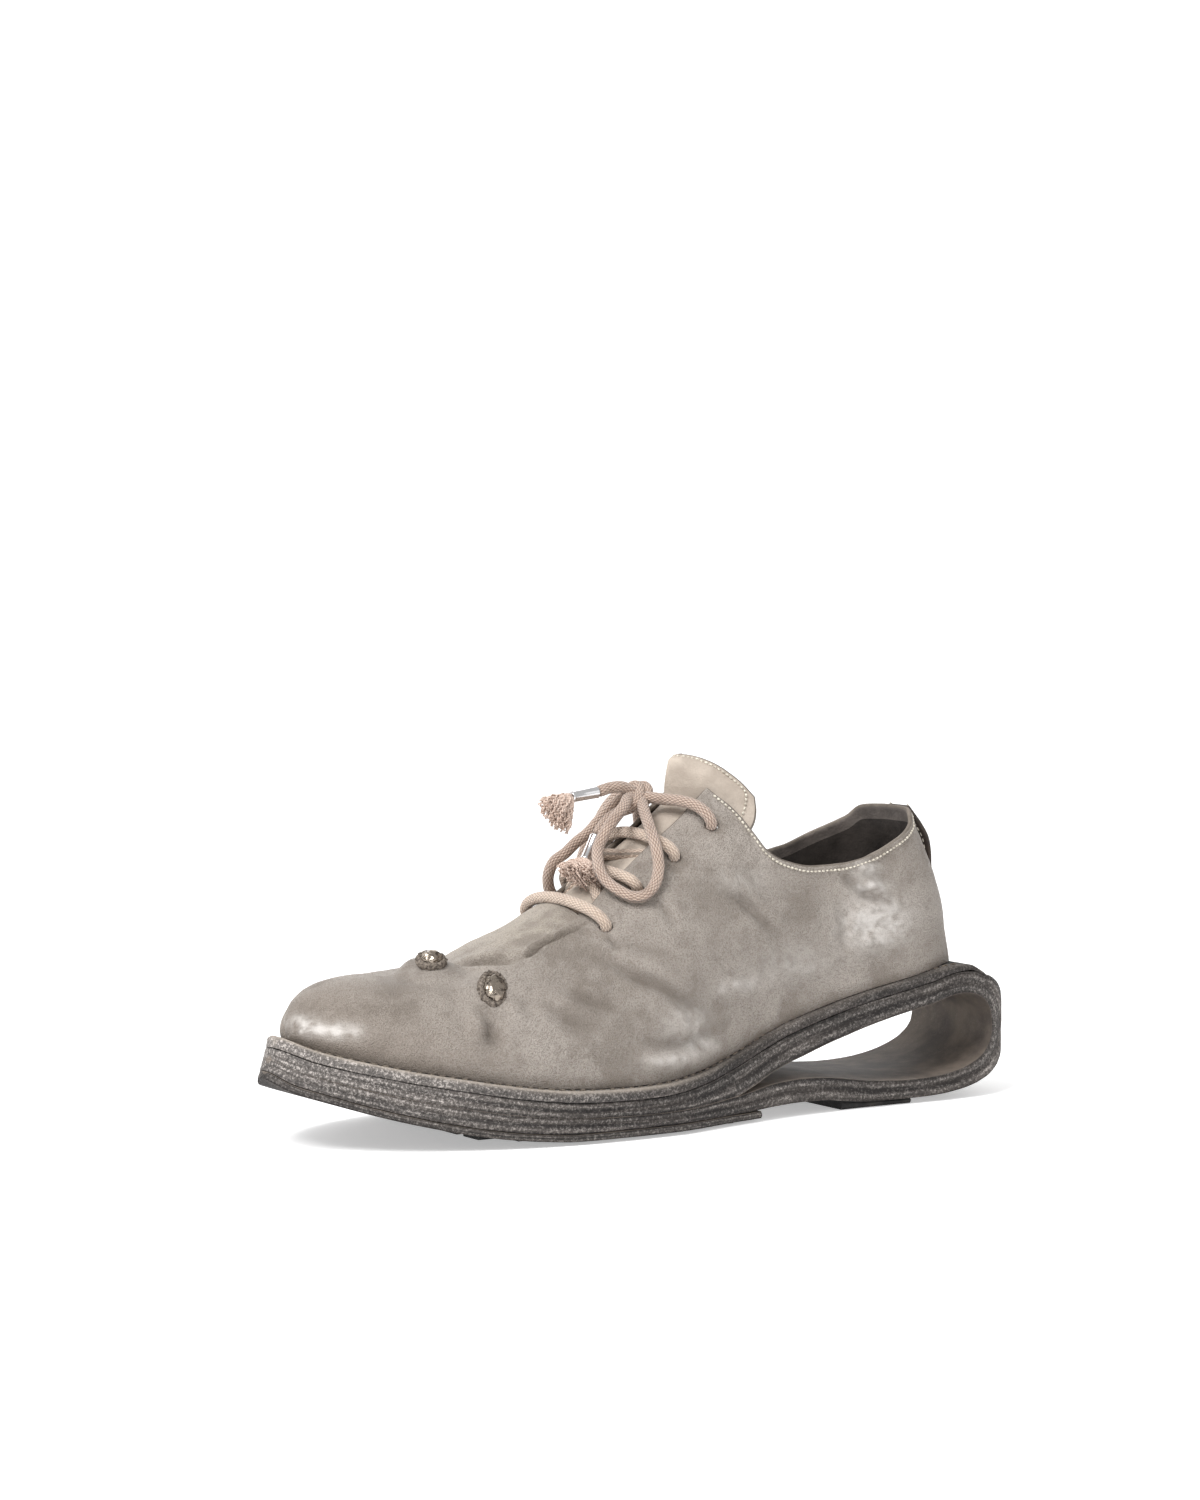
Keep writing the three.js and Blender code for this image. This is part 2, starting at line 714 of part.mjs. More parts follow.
function makeUpperShell() {
  const stations = upperStations();
  const points = [];
  const triangles = [];
  const addSheet = (side, columns, rows, pointAt) => {
    const first = points.length;
    for (const along of columns) for (let j = 0; j <= rows; j++) points.push(pointAt(along, j));
    for (let i = 0; i < columns.length - 1; i++)
      for (let j = 0; j < rows; j++) {
        const a = first + i * (rows + 1) + j;
        const [b, c, d] = [a + 1, a + rows + 2, a + rows + 1];
        if (side === LATERAL) triangles.push(a, c, b, a, d, c);
        else triangles.push(a, b, c, a, c, d);
      }
  };
  for (const side of [LATERAL, MEDIAL]) {
    addSheet(side, stations, sideRows, (along, j) => {
      const turn = topTurn(along, side) * (j / sideRows);
      return upperPoint(along, turn, side);
    });
    const front = stations.filter((along) => along <= tabEnd + 1e-6);
    addSheet(side, front, ridgeRowCount, (along, j) => {
      const edge = topTurn(along, side);
      return upperPoint(along, edge + (Math.PI / 2 - edge) * (j / ridgeRowCount), side);
    });
  }
  return thicken(points, triangles, leather, (x) => topLine(x + soleLength / 2) + seam);
}

// Lace holes in the facings, and the holes of the two toe studs.
const eyelets = [
  { along: 0.4026 * soleLength, out: 1.18 * eyeletHalfGap },
  { along: 0.452 * soleLength, out: 1.03 * eyeletHalfGap },
  { along: 0.505 * soleLength, out: eyeletHalfGap },
  { along: 0.557 * soleLength, out: eyeletHalfGap },
];
function surfaceFrame(along, out) {
  const side = out < 0 ? LATERAL : MEDIAL;
  const turn = turnAtOut(along, Math.abs(out), side);
  const step = 0.02;
  const point = upperPoint(along, turn, side);
  const above = upperPoint(along, turn + step, side);
  const across = above.sub(upperPoint(along, turn - step, side));
  const behind = upperPoint(along + 1, turnAtOut(along + 1, Math.abs(out), side), side);
  const forward = behind.sub(point).normalize();
  const normal = new THREE.Vector3().crossVectors(forward, across).normalize();
  if (normal.z < 0) normal.negate();
  return { point, normal, forward };
}

const studs = {
  near_stud: { along: 0.2476 * soleLength, out: -28.2, turn: Math.PI / 3 },
  far_stud: { along: 0.205 * soleLength, out: -6, turn: Math.PI / 12 },
};
function studSolid({ along, out, turn }, growth) {
  const { point, normal, forward } = surfaceFrame(along, out);
  const ball = new THREE.SphereGeometry(1, 12, 8);
  ball.scale(studLength / 2 + growth, studWidth / 2 + growth, studHeight + growth);
  const beside = new THREE.Vector3().crossVectors(normal, forward).normalize();
  const ahead = new THREE.Vector3().crossVectors(beside, normal);
  const long = ahead.clone().multiplyScalar(Math.cos(turn)).addScaledVector(beside, Math.sin(turn));
  const third = new THREE.Vector3().crossVectors(normal, long);
  const turned = new THREE.Matrix4().makeBasis(long, third, normal);
  turned.setPosition(point.clone().addScaledVector(normal, studHeight * 0.2));
  return solidOf(ball, turned);
}

function makeUpper() {
  const cuts = Object.values(studs).map((stud) => studSolid(stud, seam));
  for (const { along, out } of eyelets)
    for (const side of [LATERAL, MEDIAL]) {
      const { point, normal } = surfaceFrame(along, side * out);
      const drill = new THREE.CylinderGeometry(eyeletRadius, eyeletRadius, 5 * leather, 12);
      const turned = new THREE.Matrix4().makeRotationFromQuaternion(
        new THREE.Quaternion().setFromUnitVectors(new THREE.Vector3(0, 1, 0), normal),
      );
      turned.setPosition(point);
      cuts.push(solidOf(drill, turned));
    }
  return makeUpperShell().subtract(wasm.Manifold.union(cuts));
}

addPiece("upper", makeUpper(), materials.leather);
addPiece("near_stud", studSolid(studs.near_stud, 0), materials.stud);
addPiece("far_stud", studSolid(studs.far_stud, 0), materials.stud);

// Insole: a plate on the welt inside the upper.
function makeInsole() {
  const inset = leather + 2 * seam;
  const endRoom = 0.8;
  const ends = [toeLedge + inset + endRoom, upperEnd - inset - endRoom];
  const ring = (along) => {
    const low = topLine(along) + seam;
    const half = (side) => {
      const moved = along < 0.3 * soleLength ? along - inset : along + inset;
      return Math.max(baseHalfWidth(Math.min(moved, upperEnd), side) - inset, 0.6);
    };
    return [
      place(along, LATERAL * half(LATERAL), low),
      place(along, MEDIAL * half(MEDIAL), low),
      place(along, MEDIAL * half(MEDIAL), low + insoleThickness),
      place(along, LATERAL * half(LATERAL), low + insoleThickness),
    ];
  };
  const stations = [
    ...crowdedSteps(ends[0], toeRoundEnd, 8),
    ...steps(toeRoundEnd, heelRoundStart, 20).slice(1),
    ...crowdedSteps(ends[1], heelRoundStart, 7).reverse().slice(1),
  ];
  return loft(stations.map(ring));
}

addPiece("insole", makeInsole(), materials.insole);

// Tongue: it lies under the vamp's tab and the facings, then stands up in front of the ankle.
// The edge columns give where its edge is; free is 0 where it follows the upper's inside.
const tongueRows = [
  { along: 0.345, edge: 0.345, height: 0.5, edgeHeight: 0.45, width: 0.82, free: 0 },
  { along: 0.395, edge: 0.4, height: 0.6, edgeHeight: 0.55, width: 0.9, free: 0 },
  { along: 0.445, edge: 0.455, height: 0.67, edgeHeight: 0.6, width: 0.95, free: 0 },
  { along: 0.49, edge: 0.505, height: 0.74, edgeHeight: 0.68, width: 0.98, free: 0 },
  { along: 0.518, edge: 0.545, height: 0.81, edgeHeight: 0.72, width: 1.0, free: 0 },
  { along: 0.531, edge: 0.572, height: 0.838, edgeHeight: 0.74, width: 1.0, free: 0.1 },
  { along: 0.537, edge: 0.6, height: 0.872, edgeHeight: 0.76, width: 1.0, free: 0.8 },
  { along: 0.539, edge: 0.609, height: 0.922, edgeHeight: 0.79, width: 1.0, free: 1 },
  { along: 0.5415, edge: 0.616, height: 0.965, edgeHeight: 0.82, width: 1.0, free: 1 },
  { along: 0.5435, edge: 0.62, height: 0.99, edgeHeight: 0.845, width: 0.99, free: 1 },
  { along: 0.545, edge: 0.622, height: 1.0, edgeHeight: 0.86, width: 0.97, free: 1 },
];
const tongueWrap = 1.05;
const tongueArch = 2.2;
const tongueMedialShare = 0.82;
function makeTongue() {
  const columns = tongueRows.length - 1;
  const span = steps(0, 1, columns * 2);
  const indexed = tongueRows.map((row, i) => ({ ...row, place: i / columns }));
  const names = ["along", "edge", "height", "edgeHeight", "width", "free"];
  const [alongAt, edgeAt, heightAt, edgeHeightAt, widthAt, freeAt] = names.map((name) =>
    curveThrough(indexed, "place", name),
  );
  const across = 10;
  const depth = leather + 2 * seam;
  const points = [];
  const triangles = [];
  for (const t of span)
    for (let j = 0; j <= across; j++) {
      const side = (2 * j) / across - 1;
      const wrap = Math.pow(Math.abs(side), tongueWrap);
      const arch = Math.pow(Math.abs(side), tongueArch);
      const along = soleLength * (alongAt(t) + (edgeAt(t) - alongAt(t)) * wrap);
      const narrowed = side > 0 ? tongueMedialShare : 1;
      const out = side * widthAt(t) * tongueHalfWidth * narrowed;
      const up = tongueHeight * (heightAt(t) + (edgeHeightAt(t) - heightAt(t)) * arch);
      const { point, normal } = surfaceFrame(along, out);
      const under = point.addScaledVector(normal, -depth);
      points.push(under.lerp(place(along, out, up), freeAt(t)));
    }
  for (let i = 0; i < span.length - 1; i++)
    for (let j = 0; j < across; j++) {
      const a = i * (across + 1) + j;
      const [b, c, d] = [a + 1, a + across + 2, a + across + 1];
      triangles.push(a, c, b, a, d, c);
    }
  return thicken(points, triangles, tongueThickness);
}

addPiece("tongue", makeTongue(), materials.leather);

// Pull strap: a loop outside the heel's back, from under the top line down to the counter. Ahead
// is its distance in front of the upper's foot, as a share of the lean of the heel's back.
const strapRows = [
  { ahead: 0.9, height: 0.995 },
  { ahead: 0.785, height: 0.972 },
  { ahead: 0.605, height: 0.935 },
  { ahead: 0.44, height: 0.89 },
  { ahead: 0.374, height: 0.84 },
  { ahead: 0.358, height: 0.785 },
  { ahead: 0.326, height: 0.74 },
  { ahead: 0.25, height: 0.7 },
];
function makeStrap() {
  const path = new THREE.CatmullRomCurve3(
    strapRows.map((row) => place(upperEnd - row.ahead * backLean, 0, row.height * backHeight)),
  );
  const sections = path.getSpacedPoints(32);
  const rings = sections.map((point, i) => {
    const forward = path.getTangentAt(i / 32);
    const outward = new THREE.Vector3(forward.z, 0, -forward.x);
    const corner = (across, up) => {
      const beside = new THREE.Vector3(0, (across * strapWidth) / 2, 0);
      return point.clone().add(beside).addScaledVector(outward, (up * strapThickness) / 2);
    };
    return [corner(-1, -1), corner(1, -1), corner(1, 1), corner(-1, 1)];
  });
  return loft(rings);
}

addPiece("pull_strap", makeStrap(), materials.strap);

// Laces: each path runs over the upper. Along is a share of the sole's length, out a share of
// the ball's half width, and lift the height over the leather, in lace radii.

function laceCurve(rows) {
  return new THREE.CatmullRomCurve3(
    rows.map(({ along, out, lift }) => {
      const { point, normal } = surfaceFrame(along * soleLength, out * ballHalfWidth);
      return point.addScaledVector(normal, lift * laceRadius);
    }),
    false,
    "centripetal",
  );
}

function cordSolid(curve, radius, count, around = 8) {
  const frames = curve.computeFrenetFrames(count, false);
  const rings = steps(0, 1, count).map((t, i) => {
    const centre = curve.getPointAt(t);
    return Array.from({ length: around }, (_, j) => {
      const angle = (2 * Math.PI * j) / around;
      return centre
        .clone()
        .addScaledVector(frames.normals[i], radius * Math.cos(angle))
        .addScaledVector(frames.binormals[i], radius * Math.sin(angle));
    });
  });
  return loft(rings);
}

// A straight bar from a lace hole across the throat to the hole opposite.
const barRows = [
  { out: 1, lift: -0.72, sag: 0 },
  { out: 0.99, lift: 0.5, sag: 0 },
  { out: 0.92, lift: 1.4, sag: 0.15 },
  { out: 0.78, lift: 1.65, sag: 0.4 },
  { out: 0.45, lift: 1.5, sag: 0.8 },
  { out: 0, lift: 1.4, sag: 1 },
];
const barSag = 2.4;
function barCurve(eyelet) {
  const farRows = barRows.slice(0, -1).reverse().map((row) => ({ ...row, out: -row.out }));
  const rows = [...barRows, ...farRows];
  return laceCurve(
    rows.map(({ out, lift, sag }) => ({
      along: (eyelet.along - barSag * sag) / soleLength,
      out: (-out * eyelet.out) / ballHalfWidth,
      lift,
    })),
  );
}

const barNames = ["lace_bar_low", "lace_bar_mid", "lace_bar_high"];
const bars = barNames.map((name, i) => cordSolid(barCurve(eyelets[i]), laceRadius, 16));
barNames.forEach((name, i) => addPiece(name, bars[i], materials.lace));

// The knot sits over the top bar and holds the laces from the top pair of holes.
const topRows = [
  { along: 0.557, out: -0.44, lift: -0.72 },
  { along: 0.557, out: -0.436, lift: 0.5 },
  { along: 0.555, out: -0.405, lift: 1.45 },
  { along: 0.55, out: -0.34, lift: 1.8 },
  { along: 0.541, out: -0.23, lift: 1.8 },
  { along: 0.533, out: -0.11, lift: 2.1 },
  { along: 0.526, out: -0.01, lift: 3.3 },
  { along: 0.523, out: 0.047, lift: 4.0 },
  { along: 0.527, out: 0.11, lift: 3.5 },
  { along: 0.536, out: 0.2, lift: 2.2 },
  { along: 0.547, out: 0.33, lift: 1.8 },
  { along: 0.555, out: 0.405, lift: 1.45 },
  { along: 0.557, out: 0.436, lift: 0.5 },
  { along: 0.557, out: 0.44, lift: -0.72 },
];
const knot = { along: 0.523, out: 0.047, lift: 4.0, length: 14, width: 11, height: 8.5 };
function knotLump(growth) {
  const centre = laceCurve([knot, knot]).getPoint(0);
  const ball = new THREE.SphereGeometry(0.5, 12, 8);
  ball.scale(knot.length + 2 * growth, knot.width + 2 * growth, knot.height + 2 * growth);
  return solidOf(ball, new THREE.Matrix4().makeTranslation(centre.x, centre.y, centre.z));
}
const topStrand = cordSolid(laceCurve(topRows), laceRadius, 22);
addPiece("lace_knot", knotLump(0).add(topStrand), materials.lace);

const nearLoopRows = [
  { along: 0.518, out: -0.03, lift: 3.4 },
  { along: 0.507, out: -0.148, lift: 3.3 },
  { along: 0.494, out: -0.307, lift: 3.8 },
  { along: 0.486, out: -0.41, lift: 3.3 },
  { along: 0.48, out: -0.472, lift: 1.9 },
  { along: 0.469, out: -0.523, lift: 1.24 },
  { along: 0.454, out: -0.538, lift: 1.23 },
  { along: 0.442, out: -0.506, lift: 1.27 },
  { along: 0.433, out: -0.431, lift: 1.5 },
  { along: 0.428, out: -0.338, lift: 2.3 },
  { along: 0.429, out: -0.277, lift: 3.4 },
  { along: 0.438, out: -0.19, lift: 3.9 },
  { along: 0.447, out: -0.145, lift: 4.5 },
  { along: 0.46, out: -0.14, lift: 5.56 },
  { along: 0.477, out: -0.123, lift: 6.06 },
  { along: 0.498, out: -0.064, lift: 5.61 },
  { along: 0.512, out: 0.02, lift: 5.1 },
];
const farLoopRows = [
  { along: 0.514, out: 0.08, lift: 4.9 },
  { along: 0.503, out: 0.13, lift: 4.9 },
  { along: 0.492, out: 0.2, lift: 4.3 },
  { along: 0.479, out: 0.252, lift: 3.9 },
  { along: 0.465, out: 0.28, lift: 4.02 },
  { along: 0.452, out: 0.301, lift: 3.86 },
  { along: 0.442, out: 0.339, lift: 4.1 },
  { along: 0.436, out: 0.41, lift: 3.3 },
  { along: 0.44, out: 0.49, lift: 1.8 },
  { along: 0.456, out: 0.53, lift: 1.4 },
  { along: 0.473, out: 0.5, lift: 2.0 },
  { along: 0.489, out: 0.41, lift: 3.8 },
  { along: 0.503, out: 0.33, lift: 4.6 },
  { along: 0.514, out: 0.24, lift: 5.2 },
  { along: 0.521, out: 0.15, lift: 5.2 },
  { along: 0.523, out: 0.08, lift: 4.6 },
];
const foreEndRows = [
  { along: 0.521, out: 0.045, lift: 5.44 },
  { along: 0.516, out: 0.042, lift: 6.97 },
  { along: 0.505, out: 0.041, lift: 8.37 },
  { along: 0.493, out: 0.04, lift: 9.27 },
];
const lowEndRows = [
  { along: 0.514, out: 0.055, lift: 3.0 },
  { along: 0.497, out: 0.05, lift: 4.1 },
  { along: 0.48, out: 0.03, lift: 4.6 },
  { along: 0.461, out: -0.022, lift: 4.6 },
];
const foreAgletRows = [
  { along: 0.4905, out: 0.04, lift: 9.4 },
  { along: 0.465, out: 0.038, lift: 12.0 },
];
const lowAgletRows = [
  { along: 0.458, out: -0.034, lift: 4.62 },
  { along: 0.432, out: -0.085, lift: 3.33 },
];

const clear = knotLump(seam);
const nearLoop = cordSolid(laceCurve(nearLoopRows), laceRadius, 28).subtract(clear);
const farLoop = cordSolid(laceCurve(farLoopRows), laceRadius, 28).subtract(clear);
addPiece("lace_loop_near", nearLoop, materials.lace);
addPiece("lace_loop_far", farLoop, materials.lace);
addPiece("lace_end_fore", cordSolid(laceCurve(foreEndRows), laceRadius, 6).subtract(clear), materials.lace);
addPiece("lace_end_low", cordSolid(laceCurve(lowEndRows), laceRadius, 6).subtract(clear), materials.lace);

const agletRadius = 2.1;
addPiece("aglet_fore", cordSolid(laceCurve(foreAgletRows), agletRadius, 2), materials.steel);
addPiece("aglet_low", cordSolid(laceCurve(lowAgletRows), agletRadius, 2), materials.steel);

// A tassel: tufts of yarn that fan out from the end of an aglet, fused at their root.
const tasselLength = 10;
const tasselSpread = 0.6;
const tuftRadius = 1.8;
function tassel(agletRows, droop) {
  const curve = laceCurve(agletRows);
  const tip = curve.getPointAt(1);
  const ahead = curve.getTangentAt(1);
  const aimed = ahead.clone().add(new THREE.Vector3(0, 0, -droop)).normalize();
  const side = new THREE.Vector3().crossVectors(aimed, new THREE.Vector3(0, 1, 0)).normalize();
  const other = new THREE.Vector3().crossVectors(aimed, side);
  const root = tip.clone().addScaledVector(ahead, seam + tuftRadius);
  const tufts = [];
  for (let ring = 0; ring < 3; ring++) {
    const count = 1 + 2 * ring;
    for (let i = 0; i < count; i++) {
      const angle = (2 * Math.PI * (i + ring / 2)) / count;
      const spread = (tasselSpread * ring) / 2;
      const aim = aimed
        .clone()
        .addScaledVector(side, spread * Math.cos(angle))
        .addScaledVector(other, spread * Math.sin(angle))
        .normalize();
      const start = root.clone().addScaledVector(aim, -0.3);
      const end = root.clone().addScaledVector(aim, tasselLength * (1 - 0.1 * ring));
      tufts.push(cordSolid(new THREE.LineCurve3(start, end), tuftRadius, 1, 6));
    }
  }
  return wasm.Manifold.union(tufts);
}
addPiece("tassel_fore", tassel(foreAgletRows, 1.1), materials.lace);
addPiece("tassel_low", tassel(lowAgletRows, 0.2), materials.lace);

export default shoe;
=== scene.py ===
"""The looks of a left derby shoe on a looped heel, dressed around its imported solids.

The shoe's own tables hold millimetres, or shares of the sizes in Last: "along" runs from the
toe's tip to the heel, "out" is across the foot with the outer side negative, and "up" is height.
Finished meshes are in metres, in the frame's axes.
"""

import logging
import math
from dataclasses import dataclass, field
from enum import Enum
from typing import Any, Callable, Optional, Sequence

import bpy
import numpy as np
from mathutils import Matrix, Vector, noise


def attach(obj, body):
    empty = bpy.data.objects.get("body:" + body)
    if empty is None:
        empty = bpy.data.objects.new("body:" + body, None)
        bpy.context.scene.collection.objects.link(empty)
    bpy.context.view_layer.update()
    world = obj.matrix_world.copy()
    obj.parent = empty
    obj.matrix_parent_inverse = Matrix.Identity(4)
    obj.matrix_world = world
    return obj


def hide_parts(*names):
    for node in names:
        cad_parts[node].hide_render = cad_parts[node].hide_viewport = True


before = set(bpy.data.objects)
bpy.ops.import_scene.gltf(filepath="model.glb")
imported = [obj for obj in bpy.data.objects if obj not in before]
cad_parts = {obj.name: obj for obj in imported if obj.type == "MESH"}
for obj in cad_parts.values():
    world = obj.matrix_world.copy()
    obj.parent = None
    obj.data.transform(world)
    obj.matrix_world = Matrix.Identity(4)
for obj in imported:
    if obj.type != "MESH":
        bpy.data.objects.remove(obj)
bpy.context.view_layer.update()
LOG = logging.getLogger("derby")
MM = 0.001
Array = np.ndarray
Colour = tuple[float, float, float]
Faces = Sequence[tuple[int, ...]]
Material = bpy.types.Material
Piece = bpy.types.Object
Socket = bpy.types.NodeSocket


class Side(Enum):
    """The two sides of the foot, by the sign of their distance out."""

    LATERAL = -1
    MEDIAL = 1


# Curves and small vector helpers


def curve_through(rows: Sequence[tuple[float, ...]], column: int) -> Callable[[Array], Array]:
    """Makes a smooth curve through table rows that never overshoots them.

    Args:
        rows: Table rows, each starting with the distance along.
        column: Which column the curve gives.

    Returns:
        A function from distances to the column's values.
    """
    xs = np.array([row[0] for row in rows], float)
    ys = np.array([row[column] for row in rows], float)
    slopes = np.diff(ys) / np.diff(xs)
    product = slopes[:-1] * slopes[1:]
    total = np.where(np.abs(slopes[:-1] + slopes[1:]) < 1e-12, 1, slopes[:-1] + slopes[1:])
    middle = np.where(product > 0, 2 * product / total, 0)
    tangents = np.concatenate([[slopes[0]], middle, [slopes[-1]]])

    def value(x: Array) -> Array:
        """The curve at x, held at its ends.

        Args:
            x: Distances, or shares where the table has them.

        Returns:
            The curve's values.
        """
        held = np.clip(np.asarray(x, float), xs[0], xs[-1])
        i = np.clip(np.searchsorted(xs, held, side="right") - 1, 0, len(xs) - 2)
        span = xs[i + 1] - xs[i]
        t = (held - xs[i]) / span
        bent = t * t * (3 - 2 * t)
        start = t * (1 - t) ** 2 * span * tangents[i]
        end = t * t * (t - 1) * span * tangents[i + 1]
        return ys[i] * (1 - bent) + ys[i + 1] * bent + start + end

    return value


def rounded_share(share: Array, power: float) -> Array:
    """A quarter of a rounded shape: 0 at share 0, 1 at share 1, steep at the start."""
    held = np.clip(share, 0, 1)
    return (1 - (1 - held) ** power) ** (1 / power)


def unit(vectors: Array) -> Array:
    """The vectors at length one."""
    return vectors / np.maximum(np.linalg.norm(vectors, axis=-1, keepdims=True), 1e-9)


def crowded(start: float, end: float, count: int) -> Array:
    """Steps from start to end that crowd towards the start, for an end that rounds off."""
    return start + (end - start) * (1 - np.cos(np.linspace(0, math.pi / 2, count + 1)))


def spline(points: Array, step: float) -> Array:
    """A centripetal curve through the points, sampled evenly.

    Args:
        points: The points that it passes, one a row.
        step: The distance between samples, in the points' unit.

    Returns:
        The samples, one a row.
    """
    p = np.vstack([2 * points[0] - points[1], points, 2 * points[-1] - points[-2]])
    fine = []
    for a, b, c, d in zip(p[:-3], p[1:-2], p[2:-1], p[3:]):
        steps = [max(np.linalg.norm(v - u), 1e-6) ** 0.5 for u, v in ((a, b), (b, c), (c, d))]
        knots = np.cumsum([0] + steps)
        t = np.linspace(knots[1], knots[2], 24, endpoint=False)[:, None]
        t0, t1, t2, t3 = knots
        ab = (a * (t1 - t) + b * (t - t0)) / (t1 - t0)
        bc = (b * (t2 - t) + c * (t - t1)) / (t2 - t1)
        cd = (c * (t3 - t) + d * (t - t2)) / (t3 - t2)
        abc = (ab * (t2 - t) + bc * (t - t0)) / (t2 - t0)
        bcd = (bc * (t3 - t) + cd * (t - t1)) / (t3 - t1)
        fine.append((abc * (t2 - t) + bcd * (t - t1)) / (t2 - t1))
    fine = np.vstack(fine + [p[-2:-1]])
    lengths = np.concatenate([[0], np.cumsum(np.linalg.norm(np.diff(fine, axis=0), axis=1))])
    at = np.linspace(0, lengths[-1], max(3, int(lengths[-1] / step) + 1))
    return np.stack([np.interp(at, lengths, fine[:, k]) for k in range(3)], axis=1)


# The last: the shoe's sizes and the surfaces that they give


@dataclass(frozen=True)
class Last:
    """The shoe's driving sizes in millimetres, and the lines and surfaces that follow them."""

    length: float = 312
    ball: float = 53
    stack: float = 18.4
    seat: float = 52
    spring: float = 25
    welt: float = 4
    half_sole: float = 2.6
    lug: float = 1.3
    seat_band: float = 9
    floor_band: float = 8.6
    bend: float = 11.8
    bend_height: float = 26
    arch: float = 5
    heel_ledge: float = 20.5
    toe_ledge: float = 9.8
    toe_rake: float = 5.5
    side_ledge: float = 5
    seat_ledge: float = 1.6
    leather: float = 1.8
    toe_box: float = 59.2
    instep: float = 124.5
    back: float = 111
    throat: float = 14
    throat_narrowing: float = 0.35
    seam: float = 0.3
    back_lean: float = 19

    WAIST = (
        (0.295, 1.0, 1.0), (0.36, 1.0, 0.95), (0.45, 0.972, 0.828), (0.55, 0.81, 0.65),
        (0.65, 0.675, 0.56), (0.75, 0.612, 0.56), (0.85, 0.592, 0.575),
    )
    SPRING = (
        (0, 1.0, 0.98), (0.016, 0.84, 0.87), (0.038, 0.735, 0.715), (0.062, 0.63, 0.62),
        (0.101, 0.475, 0.5), (0.142, 0.335, 0.385), (0.185, 0.21, 0.285), (0.23, 0.105, 0.18),
        (0.277, 0.035, 0.09), (0.32, 0, 0.035), (0.4, 0, 0),
    )
    CLIMB = (
        (0.369, 0), (0.43, 0.012), (0.5, 0.09), (0.535, 0.165), (0.569, 0.265), (0.603, 0.375),
        (0.637, 0.48), (0.7, 0.63), (0.762, 0.76), (0.822, 0.865), (0.868, 0.945), (0.9, 0.985),
        (0.92, 0.98), (0.94, 0.9), (0.955, 0.81),
    )
    RIDGE = (
        (0.144, 0), (0.183, 0.016), (0.218, 0.032), (0.253, 0.036), (0.269, 0.07), (0.282, 0.11),
        (0.301, 0.152), (0.327, 0.198), (0.353, 0.25), (0.378, 0.318), (0.404, 0.387),
        (0.429, 0.475), (0.455, 0.566), (0.481, 0.659), (0.513, 0.775), (0.545, 0.9), (0.571, 1),
    )
    COLLAR = (
        (0.571, 1.088), (0.587, 1.035), (0.603, 0.964), (0.622, 0.892), (0.649, 0.852),
        (0.685, 0.831), (0.721, 0.832), (0.762, 0.852), (0.802, 0.895), (0.845, 0.952),
        (0.86, 0.992), (0.873, 1.0),
    )
    SECTION = (
        (0.03, 2.3, 0.5), (0.2, 2.2, 0.7), (0.4, 2.2, 0.9), (0.45, 2.25, 1.0), (0.557, 2.5, 0.9),
        (0.6, 3, 0.8), (0.65, 3.6, 0.8), (0.72, 4, 1.0), (0.8, 4, 1.2), (0.94, 4, 1.3),
    )
    FACING = (
        (0.3, 1.65), (0.355, 1.43), (0.385, 1.3), (0.42, 1.08), (0.452, 1.0), (0.477, 0.99),
        (0.571, 1.03),
    )
    BANDS = (
        (0.5, 0.84, 0.72, 0.6), (0.551, 0.86, 0.74, 1.2), (0.583, 0.9, 0.86, 1.2),
        (0.615, 0.98, 0.99, 1.12), (0.66, 1.04, 1.03, 1.12), (0.7, 0.96, 1.0, 1.06),
        (0.735, 0.7, 0.98, 1.02), (0.77, 0.52, 0.9, 0.96), (0.82, 0.45, 0.83, 0.9),
    )

    @property
    def upper_end(self) -> float:
        """Where the upper ends at the heel."""
        return self.length - self.heel_ledge

    @property
    def heel_round(self) -> float:
        """Where the heel starts to round off."""
        return 0.817 * self.length

    @property
    def tab_end(self) -> float:
        """Where the vamp ends between the facings."""
        return 0.385 * self.length

    @property
    def collar_start(self) -> float:
        """Where the facings end and the collar starts."""
        return self.COLLAR[0][0] * self.length

    def at(self, along: Array, out: Array, up: Array) -> Array:
        """Points in the frame's axes, in millimetres."""
        return np.stack(np.broadcast_arrays(np.asarray(along) - self.length / 2, out, up), axis=-1)

    def follow(self, table: Sequence[tuple[float, ...]], column: int, along: Array) -> Array:
        """A table's column at distances from the toe."""
        return curve_through(table, column)(np.asarray(along) / self.length)

    def half_width(self, along: Array, side: Side) -> Array:
        """Half width of the sole at a distance from the toe.

        Args:
            along: Distances from the toe.
            side: The side of the foot.

        Returns:
            Half widths in millimetres.
        """
        lateral = side is Side.LATERAL
        ball = (0.36 if lateral else 0.295) * self.length
        waist = curve_through(self.WAIST, 1 if lateral else 2)
        along = np.asarray(along, float)
        front = rounded_share((along + 0.3) / (ball + 0.3), 1.8 if lateral else 1.7)
        start = 0.85 * self.length
        end = self.length + 2.5
        back = rounded_share((end - along) / (end - start), 3)
        behind = waist(along / self.length) * np.where(along > start, back, 1)
        return self.ball * np.where(along < ball, front, behind)

    def top_line(self, along: Array) -> Array:
        """The top of the welt, which carries the upper.

        Args:
            along: Distances from the toe.

        Returns:
            Heights in millimetres.
        """
        share = np.asarray(along) / self.length
        spring = curve_through(self.SPRING, 2)(share)
        climb = curve_through(self.CLIMB, 1)(share)
        return self.stack + self.spring * spring + (self.seat - self.stack) * climb

    def rake(self, along: Array) -> Array:
        """How far the top of the sole's front stands behind its foot."""
        return self.toe_rake * np.maximum(1 - np.asarray(along) / 36, 0) ** 2

